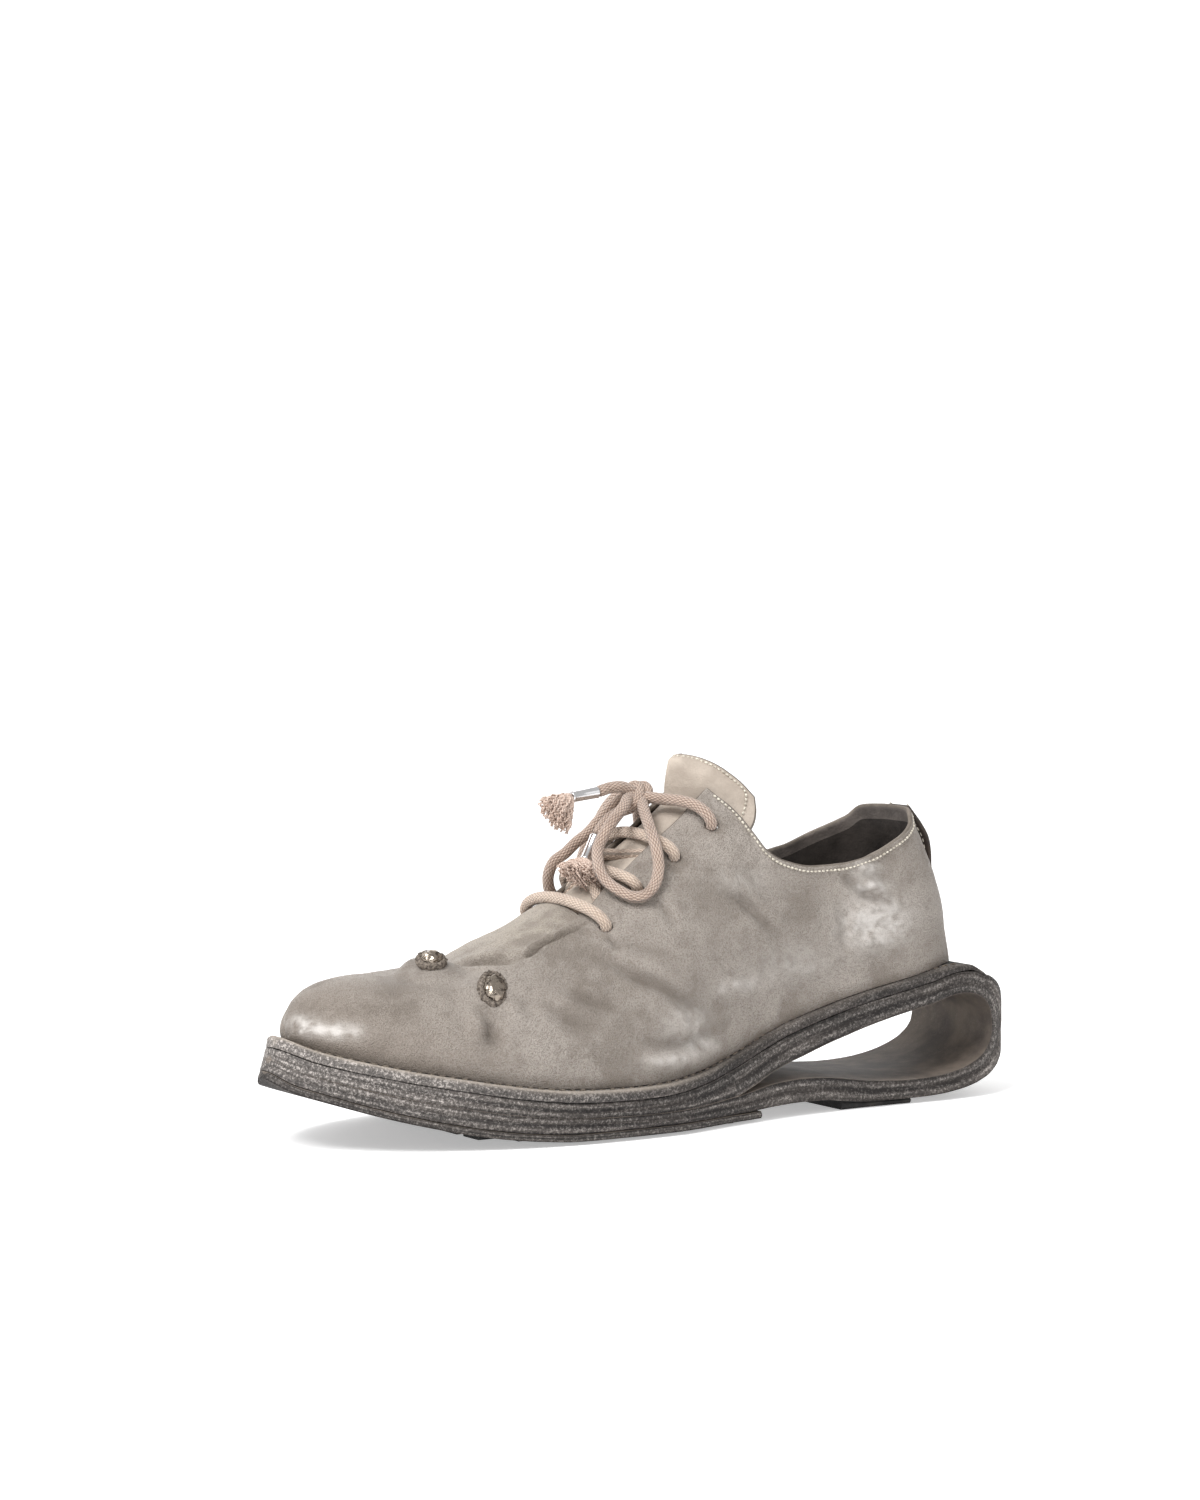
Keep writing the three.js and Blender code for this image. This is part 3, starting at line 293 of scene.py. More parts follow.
    def raked_top(self, along: Array) -> Array:
        """The welt's top over a point of the sole's foot."""
        return self.top_line(along + self.rake(along))

    def under_line(self, along: Array) -> Array:
        """The underside of the half sole."""
        return self.lug + (self.spring - self.lug) * self.follow(self.SPRING, 1, along)

    def floor_under(self, along: Array) -> Array:
        """The underside of the floor band behind the waist."""
        return self.arch * self.follow(self.BANDS, 1, along)

    def floor_top(self, along: Array) -> Array:
        """The top of the floor band."""
        share = np.asarray(along) / self.length
        return self.floor_under(along) + self.floor_band * curve_through(self.BANDS, 2)(share)

    def seat_depth(self, along: Array) -> Array:
        """The seat band's thickness."""
        return self.seat_band * self.follow(self.BANDS, 3, along)

    @property
    def split(self) -> float:
        """Where the two bands part."""
        return 0.551 * self.length

    @property
    def seat_bend(self) -> float:
        """Where the seat band turns down."""
        return 0.907 * self.length

    @property
    def floor_bend(self) -> float:
        """Where the floor band turns up."""
        return 0.83 * self.length

    @property
    def welt_end(self) -> float:
        """Where the welt ends behind the heel."""
        return 0.948 * self.length

    def welt_depth(self, along: Array) -> Array:
        """The welt's thickness, which thins to an edge behind the heel."""
        start = 0.86 * self.length
        return self.welt * (1 - 0.72 * np.clip((along - start) / (self.welt_end - start), 0, 1))

    def band_top(self, along: Array) -> Array:
        """The top of the seat band, under the welt."""
        return self.raked_top(along) - self.welt_depth(along) - self.seam

    def base_half(self, along: Array, side: Side) -> Array:
        """Half width of the upper where it meets the welt.

        Args:
            along: Distances from the toe.
            side: The side of the foot.

        Returns:
            Half widths in millimetres.
        """
        lateral = side is Side.LATERAL
        ball = (0.36 if lateral else 0.295) * self.length
        along = np.asarray(along, float)
        share = (along - self.toe_ledge) / (ball - self.toe_ledge)
        front = (self.ball - self.side_ledge) * rounded_share(share, 1.8 if lateral else 1.7)
        fade = np.clip((along - ball) / (self.heel_round - ball), 0, 1)
        ledge = self.side_ledge + (self.seat_ledge - self.side_ledge) * fade
        width = self.half_width(np.minimum(along, self.heel_round), side) - ledge
        close = rounded_share((self.upper_end - along) / (self.upper_end - self.heel_round), 2.3)
        behind = width * np.where(along > self.heel_round, close, 1)
        return np.where(along < ball, front, behind)

    def ridge(self, along: Array) -> Array:
        """The height of the vamp's and instep's ridge.

        Args:
            along: Distances from the toe.

        Returns:
            Heights in millimetres.
        """
        along = np.asarray(along, float)
        end = 0.144 * self.length
        base = self.top_line(self.toe_ledge) + self.seam
        rise = rounded_share((along - self.toe_ledge) / (end - self.toe_ledge), 2.6)
        toe = base + (self.toe_box - base) * rise
        instep = curve_through(self.RIDGE, 1)(along / self.length)
        return np.where(along < end, toe, self.toe_box + (self.instep - self.toe_box) * instep)

    def lean(self, along: Array) -> Array:
        """How far each rib's top stands ahead of its foot at the heel.

        Args:
            along: Distances from the toe.

        Returns:
            Distances ahead.
        """
        start = 0.6 * self.length
        share = np.maximum((np.asarray(along) - start) / (self.upper_end - start), 0)
        return self.back_lean * share**1.5

    def upper_point(self, along: Array, turn: Array, side: Side) -> Array:
        """Points of the upper's outside.

        Args:
            along: Distances of the sections from the toe.
            turn: 0 at the welt, a right angle at the ridge.
            side: The side of the foot.

        Returns:
            Points in millimetres, on the last axis.
        """
        along, turn = np.broadcast_arrays(np.asarray(along, float), np.asarray(turn, float))
        share = along / self.length
        base = self.top_line(along) + self.seam
        full = self.ridge(along) - base
        exponent = 2 / curve_through(self.SECTION, 1)(share)
        rise = np.sin(turn) ** exponent
        reach = np.maximum(np.cos(turn), 0) ** exponent
        step = 0.5
        after = self.base_half(np.minimum(along + step, self.upper_end), side)
        before = self.base_half(np.maximum(along - step, self.toe_ledge), side)
        slope = (after - before) / (2 * step)
        slope = np.where(along > self.upper_end - step, -1000, slope)
        slope = np.where(along < self.toe_ledge + step, 1000, slope)
        fade = np.clip(full / 10, 0, 1)
        belly = curve_through(self.SECTION, 2)(share)
        swell = self.leather * belly * np.sin(math.pi * np.minimum(rise * 1.4, 1)) * fade
        level = np.hypot(slope, 1)
        out = self.base_half(along, side) * reach + swell / level
        leaned = full * rise / (self.back - self.seat)
        ahead = along - self.lean(along) * leaned - swell * slope / level
        return self.at(ahead, side.value * out, base + full * rise)

    def turn_at_out(self, along: Array, out: Array, side: Side) -> Array:
        """The turn at which a section reaches a half width."""
        reach = np.clip(out / np.maximum(self.base_half(along, side), 0.01), 0, 1)
        return np.arccos(reach ** (self.follow(self.SECTION, 1, along) / 2))

    def turn_at_height(self, along: Array, height: Array) -> Array:
        """The turn at which a section reaches a height.

        Args:
            along: Distances from the toe.
            height: Heights in millimetres.

        Returns:
            Turns.
        """
        base = self.top_line(along) + self.seam
        rise = np.clip((height - base) / (self.ridge(along) - base), 0, 1)
        return np.arcsin(rise ** (self.follow(self.SECTION, 1, along) / 2))

    def facing_out(self, along: Array, side: Side) -> Array:
        """How far the slit along the facing stands from the middle."""
        line = self.throat * self.follow(self.FACING, 1, along)
        return np.minimum(line, self.throat_narrowing * self.base_half(along, side))

    def top_turn(self, along: Array, side: Side) -> Array:
        """The turn of a section's top edge: the facing in front, the collar behind.

        Args:
            along: Distances from the toe.
            side: The side of the foot.

        Returns:
            Turns.
        """
        along = np.asarray(along, float)
        facing = self.turn_at_out(along, self.facing_out(along, side), side)
        collar = self.back * curve_through(self.COLLAR, 1)((along - self.lean(along)) / self.length)
        return np.where(along <= self.collar_start, facing, self.turn_at_height(along, collar))

    def surface(self, along: float, out: float) -> tuple[Array, Array, Array]:
        """The upper's outside at a distance along and out.

        Args:
            along: Distance from the toe.
            out: Distance from the middle, negative on the outer side.

        Returns:
            The point, its outward normal and the direction towards the heel.
        """
        side = Side.LATERAL if out < 0 else Side.MEDIAL
        turn = self.turn_at_out(along, abs(out), side)
        point = self.upper_point(along, turn, side)
        across = self.upper_point(along, turn + 0.02, side) - self.upper_point(along, turn - 0.02, side)
        behind = self.upper_point(along + 1, self.turn_at_out(along + 1, abs(out), side), side)
        forward = unit(behind - point)
        normal = unit(np.cross(forward, across))
        return point, normal * (1 if normal[2] >= 0 else -1), forward


LAST = Last()


# Meshes


@dataclass
class Sheet:
    """Points, faces and what goes with them, on the way to a mesh.

    Attributes:
        points: Vertices in millimetres.
        faces: Vertex numbers of each face.
        slots: The material slot of each face.
        uvs: A UV pair for each vertex, in millimetres, or None.
    """

    points: Array
    faces: list[tuple[int, ...]]
    slots: list[int] = field(default_factory=list)
    uvs: Optional[Array] = None

    def joined(self, other: "Sheet") -> "Sheet":
        """This sheet and another as one, each with its own faces.

        Args:
            other: The sheet that is added.

        Returns:
            Both as one sheet.
        """
        first = len(self.points)
        faces = self.faces + [tuple(n + first for n in face) for face in other.faces]
        slots = (self.slots or [0] * len(self.faces)) + (other.slots or [0] * len(other.faces))
        uvs = None
        if self.uvs is not None and other.uvs is not None:
            uvs = np.vstack([self.uvs, other.uvs])
        return Sheet(np.vstack([self.points, other.points]), faces, slots, uvs)

    def object(self, name: str, materials: Sequence[Material], crisp: float = 60) -> Piece:
        """Makes the sheet a Blender object at the origin, with smooth faces.

        Args:
            name: The piece's name.
            materials: The materials of its slots.
            crisp: The angle in degrees past which an edge stays sharp.

        Returns:
            The linked object.
        """
        mesh = bpy.data.meshes.new(name)
        mesh.from_pydata((self.points * MM).tolist(), [], self.faces)
        for material in materials:
            mesh.materials.append(material)
        if self.slots:
            mesh.polygons.foreach_set("material_index", np.array(self.slots, np.int32))
        if self.uvs is not None:
            layer = mesh.uv_layers.new(name="UVMap")
            loops = np.zeros(len(mesh.loops), np.int32)
            mesh.loops.foreach_get("vertex_index", loops)
            layer.data.foreach_set("uv", (self.uvs[loops] * MM).astype(np.float32).ravel())
        mesh.polygons.foreach_set("use_smooth", np.ones(len(mesh.polygons), bool))
        mesh.set_sharp_from_angle(angle=math.radians(crisp))
        mesh.validate()
        mesh.update()
        made = bpy.data.objects.new(name, mesh)
        bpy.context.scene.collection.objects.link(made)
        return made


def loft(rings: Array, capped: bool = True) -> Sheet:
    """Skins closed rings of equal counts.

    Args:
        rings: Points by ring and place round it.
        capped: Whether both ends are closed by fans.

    Returns:
        The skin, with UVs that run along it and round it.
    """
    count, around = rings.shape[:2]
    number = np.arange(count * around).reshape(count, around)
    ahead = np.roll(number, -1, axis=1)
    quads = np.stack([number[:-1], ahead[:-1], ahead[1:], number[1:]], axis=-1).reshape(-1, 4)
    faces = [tuple(q) for q in quads.tolist()]
    points = rings.reshape(-1, 3)
    middles = rings.mean(axis=1)
    run = np.concatenate([[0], np.cumsum(np.linalg.norm(np.diff(middles, axis=0), axis=1))])
    girth = np.linalg.norm(np.diff(rings[count // 2], axis=0), axis=1)
    lap = np.concatenate([[0], np.cumsum(girth)])
    uvs = np.stack(np.meshgrid(run, lap, indexing="ij"), axis=-1).reshape(-1, 2)
    if capped:
        ends = [rings[0].mean(axis=0), rings[-1].mean(axis=0)]
        first, last = len(points), len(points) + 1
        points = np.vstack([points, ends])
        uvs = np.vstack([uvs, [run[0], 0], [run[-1], 0]])
        faces += [(first, int(b), int(a)) for a, b in zip(number[0], ahead[0])]
        faces += [(last, int(a), int(b)) for a, b in zip(number[-1], ahead[-1])]
    volume = signed_volume(points, faces)
    if capped and volume < 0:
        faces = [face[::-1] for face in faces]
    return Sheet(points, faces, uvs=uvs)


def signed_volume(points: Array, faces: Faces) -> float:
    """The volume inside the faces, negative where they face inwards.

    Args:
        points: The corners.
        faces: Their faces.

    Returns:
        The volume.
    """
    corners = np.array([(f[0], f[i], f[i + 1]) for f in faces for i in range(1, len(f) - 1)])
    a, b, c = points[corners[:, 0]], points[corners[:, 1]], points[corners[:, 2]]
    return float((a * np.cross(b, c)).sum() / 6)


def welded(points: Array, faces: Faces, within: float = 2e-3) -> tuple[Array, Array, Array]:
    """Merges vertices that lie on each other and drops the faces that this closes up.

    Args:
        points: Vertices in millimetres.
        faces: Quads.
        within: The distance within which two vertices are one.

    Returns:
        The kept points, the number that each old vertex now has, and the kept quads.
    """
    _, first, inverse = np.unique(np.round(points / within), axis=0, return_index=True, return_inverse=True)
    inverse = inverse.ravel()
    quads = inverse[np.array(faces)]
    distinct = np.array([len(set(q)) for q in quads.tolist()])
    return points[first], inverse, quads[distinct >= 3]


def vertex_normals(points: Array, quads: Array) -> Array:
    """Area-weighted vertex normals of quads.

    Args:
        points: The corners.
        quads: Rows of four indices.

    Returns:
        One normal for each point.
    """
    cross = np.cross(points[quads[:, 2]] - points[quads[:, 0]], points[quads[:, 3]] - points[quads[:, 1]])
    normals = np.zeros_like(points)
    for corner in range(4):
        np.add.at(normals, quads[:, corner], cross)
    return unit(normals)


def shell(points: Array, quads: Array, thickness: float, ground: Optional[Callable] = None) -> Sheet:
    """Gives a sheet a wall with a rounded rim. Slots: 0 outside, 1 inside, 2 rim.

    Args:
        points: The outside's vertices, welded.
        quads: Its faces, which may repeat a corner.
        thickness: The wall.
        ground: Gives a line's height from x: points on it keep their foot level.

    Returns:
        The closed wall.
    """
    normals = vertex_normals(points, quads)
    inward = -normals
    grounded = np.zeros(len(points), bool)
    if ground is not None:
        grounded = np.abs(points[:, 2] - ground(points[:, 0])) < 0.05
        inward[grounded, 2] = 0
        inward = unit(inward)
    inner = points + inward * thickness
    if ground is not None:
        inner[grounded, 2] = ground(inner[grounded, 0])
    count = len(points)
    edges: dict[tuple[int, int], bool] = {}
    for quad in quads.tolist():
        loop = [n for i, n in enumerate(quad) if n != quad[i - 1]]
        for a, b in zip(loop, loop[1:] + loop[:1]):
            edges[(a, b)] = True
    border = [(a, b) for a, b in edges if (b, a) not in edges]
    beside = np.zeros_like(points)
    for a, b in border:
        outward = np.cross(points[b] - points[a], normals[a])
        beside[a] += outward
        beside[b] += outward
    beside = unit(beside)
    rim_rows = 3
    rim_of: dict[int, list[int]] = {}
    extra = []
    for n in sorted({n for edge in border for n in edge}):
        middle = (points[n] + inner[n]) / 2
        half = (points[n] - inner[n]) / 2
        numbers = [n]
        for k in range(1, rim_rows):
            angle = math.pi * k / rim_rows
            push = 0 if grounded[n] else 0.45 * thickness * math.sin(angle)
            extra.append(middle + half * math.cos(angle) + beside[n] * push)
            numbers.append(2 * count + len(extra) - 1)
        rim_of[n] = numbers + [n + count]
    faces: list[tuple[int, ...]] = []
    slots: list[int] = []
    for quad in quads.tolist():
        loop = tuple(n for i, n in enumerate(quad) if n != quad[i - 1])
        faces.append(loop)
        slots.append(0)
        faces.append(tuple(n + count for n in reversed(loop)))
        slots.append(1)
    for a, b in border:
        for k in range(rim_rows):
            faces.append((rim_of[b][k], rim_of[a][k], rim_of[a][k + 1], rim_of[b][k + 1]))
            slots.append(2)
    return Sheet(np.vstack([points, inner, np.array(extra).reshape(-1, 3)]), faces, slots)


def grid_quads(columns: int, rows: int, first: int, flipped: bool) -> list[tuple[int, int, int, int]]:
    """Quads of a grid of vertices numbered column by column.

    Args:
        columns: How many columns of vertices.
        rows: How many vertices in each.
        first: The number of the first vertex.
        flipped: Whether the faces turn the other way.

    Returns:
        The quads.
    """
    number = first + np.arange(columns * rows).reshape(columns, rows)
    quads = np.stack([number[:-1, :-1], number[:-1, 1:], number[1:, 1:], number[1:, :-1]], axis=-1)
    quads = quads.reshape(-1, 4)
    return [tuple(q) for q in (quads[:, ::-1] if flipped else quads).tolist()]


def tube(path: Array, radius: float, around: int = 14, ends: float = 0.6) -> Sheet:
    """A round cord along a path, with domed ends.

    Args:
        path: Points down its middle, in millimetres.
        radius: Its radius.
        around: How many sides it has.
        ends: How far each end bulges, as a share of the radius.

    Returns:
        The closed tube, with UVs along it and round it.
    """
    tangents = unit(np.gradient(path, axis=0))
    normal = unit(np.cross(tangents[0], [0.3, 0.9, 0.2]))
    rings = []
    angles = np.linspace(0, 2 * math.pi, around, endpoint=False)
    for point, tangent in zip(path, tangents):
        normal = unit(normal - tangent * (normal @ tangent))
        other = np.cross(tangent, normal)
        rings.append(point + radius * (np.outer(np.cos(angles), normal) + np.outer(np.sin(angles), other)))
    rings = np.array(rings)
    capped = []
    for share in (0.5, 0.85):
        capped.append(path[0] + (rings[0] - path[0]) * share - tangents[0] * radius * ends * (1 - share))
    tail = []
    for share in (0.85, 0.5):
        tail.append(path[-1] + (rings[-1] - path[-1]) * share + tangents[-1] * radius * ends * (1 - share))
    return loft(np.array(capped + list(rings) + tail))


# Node graphs: numbers that add up by themselves, and one way to make any other node


@dataclass(frozen=True)
class Value:
    """A number socket that takes part in sums with numbers and other sockets."""

    graph: "Graph"
    socket: Socket

    def __add__(self, other: Any) -> "Value":
        """This plus other."""
        return self.graph.maths("ADD", self, other)

    def __radd__(self, other: Any) -> "Value":
        """Other plus this."""
        return self.graph.maths("ADD", other, self)

    def __sub__(self, other: Any) -> "Value":
        """This less other."""
        return self.graph.maths("SUBTRACT", self, other)

    def __rsub__(self, other: Any) -> "Value":
        """Other less this."""
        return self.graph.maths("SUBTRACT", other, self)

    def __mul__(self, other: Any) -> "Value":
        """This times other."""
        return self.graph.maths("MULTIPLY", self, other)

    def __rmul__(self, other: Any) -> "Value":
        """Other times this."""
        return self.graph.maths("MULTIPLY", other, self)

    def __truediv__(self, other: Any) -> "Value":
        """This over other."""
        return self.graph.maths("DIVIDE", self, other)

    def __rtruediv__(self, other: Any) -> "Value":
        """Other over this."""
        return self.graph.maths("DIVIDE", other, self)

    def least(self, other: Any) -> "Value":
        """The lesser of the two."""
        return self.graph.maths("MINIMUM", self, other)

    def size(self) -> "Value":
        """This without its sign."""
        return self.graph.maths("ABSOLUTE", self)

    def wave(self) -> "Value":
        """The sine of this."""
        return self.graph.maths("SINE", self)

    def between(self, low: float, high: float) -> "Value":
        """0 below low, 1 above high and smooth between them, or turned round when low is higher.

        Args:
            low: Where it starts.
            high: Where it ends.

        Returns:
            The share.
        """
        settings = {"interpolation_type": "SMOOTHSTEP"}
        values = {0: self, 1: min(low, high), 2: max(low, high), 3: float(low > high), 4: float(low < high)}
        return Value(self.graph, self.graph.node("ShaderNodeMapRange", settings, values).outputs[0])


class Graph:
    """Builds the nodes of one material or one Geometry Nodes group."""

    def __init__(self, tree: bpy.types.NodeTree) -> None:
        """Takes an empty tree."""
        self.tree = tree

    def node(
        self, kind: str, settings: Optional[dict] = None, values: Optional[dict] = None
    ) -> bpy.types.Node:
        """Makes any node.

        Args:
            kind: The node's type.
            settings: Its properties, set before its sockets.
            values: What each input socket takes, by name or number: a socket, a Value or a constant.

        Returns:
            The node.
        """
        made = self.tree.nodes.new(kind)
        for name, value in (settings or {}).items():
            setattr(made, name, value)
        for name, value in (values or {}).items():
            self.give(made.inputs[name], value)
        return made

    def give(self, socket: Socket, value: Any) -> None:
        """Links a socket or Value to an input, or sets the input to a constant.

        Args:
            socket: The input.
            value: A socket, a Value or a constant.
        """
        if isinstance(value, Value):
            value = value.socket
        if isinstance(value, Socket):
            self.tree.links.new(value, socket)
        elif isinstance(value, tuple) and len(value) == 3 and socket.type == "RGBA":
            socket.default_value = (*value, 1)
        else:
            socket.default_value = value

    def maths(self, operation: str, *operands: Any) -> Value:
        """A Math node as a Value."""
        values = {i: operand for i, operand in enumerate(operands)}
        return Value(self, self.node("ShaderNodeMath", {"operation": operation}, values).outputs[0])

    def mix(self, share: Any, first: Any, second: Any) -> Socket:
        """A colour that goes from first to second."""
        made = self.node("ShaderNodeMix", {"data_type": "RGBA"}, {0: share, 6: first, 7: second})
        return made.outputs[2]

    def noise(self, vector: Any, scale: float, detail: float = 3, rough: float = 0.5) -> Value:
        """Smooth noise from 0 to 1, in cells of 1/scale of a metre."""
        values = {"Vector": vector, "Scale": scale, "Detail": detail, "Roughness": rough}
        return Value(self, self.node("ShaderNodeTexNoise", {}, values).outputs[0])

    def cells(self, vector: Any, scale: float, feature: str = "F1", random: float = 1) -> Value:
        """The distance to the nearest of scattered points, or to the edge between two."""
        values = {"Vector": vector, "Scale": scale, "Randomness": random}
        return Value(self, self.node("ShaderNodeTexVoronoi", {"feature": feature}, values).outputs[0])

    def place(self) -> Socket:
        """The place on the piece, in metres."""
        return self.node("ShaderNodeTexCoord").outputs["Object"]

    def axes(self, vector: Any) -> tuple[Value, Value, Value]:
        """A vector's three parts."""
        parts = self.node("ShaderNodeSeparateXYZ", {}, {0: vector})
        return Value(self, parts.outputs[0]), Value(self, parts.outputs[1]), Value(self, parts.outputs[2])

    def painted(self, name: str) -> Value:
        """A number that the mesh keeps at its vertices."""
        made = self.node("ShaderNodeAttribute", {"attribute_type": "GEOMETRY", "attribute_name": name})
        return Value(self, made.outputs["Fac"])

    def bump(self, height: Any, distance: float, below: Any = None) -> Socket:
        """A normal from a height between 0 and 1, over another bump's normal.

        Args:
            height: The height.
            distance: How high 1 stands, in metres.
            below: The other bump's normal.

        Returns:
            The normal's socket.
        """
        values = {"Height": height, "Distance": distance}
        if below is not None:
            values["Normal"] = below
        return self.node("ShaderNodeBump", {}, values).outputs[0]


def tone(red: float, green: float, blue: float) -> Colour:
    """A colour from its display values from 0 to 255."""
    shares = (red / 255, green / 255, blue / 255)
    return tuple(((c + 0.055) / 1.055) ** 2.4 if c > 0.0393 else c / 12.92 for c in shares)


def finish(name: str, build: Callable[[Graph], dict], **constants: Any) -> Material:
    """Makes a material with one Principled shader.

    Args:
        name: The material's name.
        build: Adds the nodes and returns what varies, by the shader's socket names.
        constants: What doesn't vary, by socket names with underscores for spaces.

    Returns:
        The material.
    """
    material = bpy.data.materials.new(name)
    material.use_nodes = True
    material.node_tree.nodes.clear()
    graph = Graph(material.node_tree)
    fixed = {key.replace("_", " "): value for key, value in constants.items()}
    shader = graph.node("ShaderNodeBsdfPrincipled", {}, {**fixed, **build(graph)})
    graph.node("ShaderNodeOutputMaterial", {}, {"Surface": shader.outputs[0]})
    return material


# Finishes


class Finish:
    """What every finish shares: its nodes and its constants become one material."""

    name: str
    fixed: dict[str, float]

    def nodes(self, g: Graph) -> dict:
        """Adds the nodes, which each finish does in its own way."""
        raise NotImplementedError

    def material(self) -> Material:
        """Makes the material."""
        return finish(self.name, self.nodes, **self.fixed)


@dataclass(frozen=True)
class AgedLeather(Finish):
    """Grey leather with a fine pebble grain, smudges, painted shade in its creases, and rubbed, glossy places
    with a painted highlight.
    """

    name: str = "aged_leather"
    pale: Colour = tone(180, 171, 163)
    mid: Colour = tone(157, 148, 140)
    # Colour of the painted shade in the creases and along the upper's foot.
    dark: Colour = tone(100, 90, 80)
    shade: Colour = tone(118, 108, 98)
    toe: Colour = tone(136, 124, 113)
    # Colour of the painted highlight on the top of the vamp's bulge.
    painted_vamp_highlight: Colour = tone(188, 177, 162)

    fixed = dict(Specular_IOR_Level=0.42)

    def nodes(self, g: Graph) -> dict:
        """Adds the nodes, which read the upper's painted crease shade, gloss and painted highlight, toe and
        vamp highlight numbers.

        Args:
            g: The material's graph.

        Returns:
            What varies, by the shader's socket names.
        """
        place = g.place()
        clouds = g.noise(place, 22, 4, 0.55)
        fine = g.noise(place, 140, 4, 0.6)
        grain = g.noise(place, 1800, 2, 0.7)
        # Painted shade: the crease number darkens the leather in the troughs, round the lace holes and along
        # the upper's foot.
        crease = g.painted("crease")
        gloss_and_painted_highlight = g.painted("gloss_and_painted_highlight")
        colour = g.mix(clouds.between(0.3, 0.62), self.mid, self.pale)
        # Painted highlight: paler and warmer on the top of the vamp's bulge.
        colour = g.mix(g.painted("painted_vamp_highlight") * 0.75, colour, self.painted_vamp_highlight)
        toe = g.painted("toe") * (0.45 + clouds * 0.8)
        colour = g.mix(toe.least(1), colour, self.toe)
        smudge = g.noise(place, 38, 5, 0.62).between(0.46, 0.68) * 0.62 + fine.between(0.5, 0.75) * 0.4
        colour = g.mix(smudge.least(0.55), colour, self.shade)
        colour = g.mix((crease * 0.55).least(0.7), colour, self.dark)
        colour = g.mix(grain.between(0.56, 0.36) * 0.6, colour, self.shade)
        # Painted highlight: rubbed places turn near white, as well as less rough.
        colour = g.mix(gloss_and_painted_highlight * 0.62, colour, tone(226, 222, 218))
        rough = 0.56 - gloss_and_painted_highlight * 0.3 - clouds.between(0.5, 0.8) * 0.1 + fine * 0.08
        height = g.noise(place, 60, 3, 0.5)
        normal = g.bump(height, 0.0018)
        normal = g.bump(grain * (1 - gloss_and_painted_highlight * 0.7), 0.0011, normal)
        return {"Base Color": colour, "Roughness": rough, "Normal": normal}


@dataclass(frozen=True)
class PlainLeather(Finish):
    """Leather of two tones with smudges and a fine grain."""

    name: str
    pale: Colour
    dark: Colour
    spread: float = 60
    rough: float = 0.7
    grain: float = 0.00012

    fixed = dict(Specular_IOR_Level=0.35)

    def nodes(self, g: Graph) -> dict:
        """Adds the nodes.

        Args:
            g: The material's graph.

        Returns:
            What varies, by the shader's socket names.
        """
        place = g.place()
        clouds = g.noise(place, self.spread, 5, 0.62)
        grain = g.cells(place, 1400, "F1")
        colour = g.mix(clouds.between(0.34, 0.68), self.dark, self.pale)
        normal = g.bump(grain, self.grain, g.bump(g.noise(place, 180, 3), 0.0004))
        return {"Base Color": colour, "Roughness": self.rough + clouds * 0.1, "Normal": normal}


@dataclass(frozen=True)
class SoleStack(Finish):
    """Charcoal layers of sole leather with pale dust and a painted highlight on the rib crests, and streaks
    along them.
    """

    name: str = "sole_stack"
    dark: Colour = tone(37, 34, 33)
    mid: Colour = tone(60, 55, 52)
    pale: Colour = tone(204, 196, 190)
    ledge: Colour = tone(168, 158, 147)
    ashen: Colour = tone(88, 80, 74)
    inner: Colour = tone(132, 120, 109)

    fixed = dict(Specular_IOR_Level=0.3)

    def nodes(self, g: Graph) -> dict:
        """Adds the nodes, which read the painted edge, dust, run, level, ledge and inner numbers.

        Args:
            g: The material's graph.

        Returns:
            What varies, by the shader's socket names.
        """
        place = g.place()
        edge = g.painted("edge")
        dusty = g.painted("dust")
        run = g.painted("run")
        level = g.painted("level")
        lane = g.node("ShaderNodeCombineXYZ", {}, {0: run * 0.09, 1: level, 2: g.axes(place)[1] * 0.06})
        streaks = g.noise(lane.outputs[0], 300, 3, 0.5)
        broad = g.noise(lane.outputs[0], 130, 2, 0.5)
        speck = g.noise(place, 1000, 3, 0.85) * 0.78 + g.noise(lane.outputs[0], 800, 2, 0.6) * 0.22
        patches = g.noise(place, 55, 3, 0.6)
        colour = g.mix(streaks.between(0.4, 0.62), self.dark, self.mid)
        # Painted highlight and dust: paler on the rib crests, in pale streaks and where the sole is dusty.
        dust_and_highlight = edge * (0.2 + patches * 0.9) + streaks.between(0.55, 0.7) * 0.5
        dust_and_highlight = dust_and_highlight * (0.1 + broad) + dusty * 1.25
        salt = speck.between(0.5, 0.62) * (0.12 + dust_and_highlight * 0.55)
        share = dust_and_highlight * 0.2 + salt
        colour = g.mix(share.least(0.92), colour, self.pale)
        pepper = speck.between(0.47, 0.38) * 0.6
        colour = g.mix(pepper, colour, tone(30, 28, 27))
        ragged = g.painted("ledge") * (0.2 + speck * 1.3)
        colour = g.mix(ragged.least(0.95), colour, self.ledge)
        inner = g.painted("inner") * (0.6 + broad * 0.4)
        colour = g.mix(inner.least(0.9), colour, g.mix(patches.between(0.3, 0.7), self.ashen, self.inner))
        height = (streaks * 0.4 + speck * 0.6) * (1 - inner * 0.8)
        normal = g.bump(height, 0.0005)
        return {"Base Color": colour, "Roughness": 0.8 - inner * 0.2 + speck * 0.1, "Normal": normal}


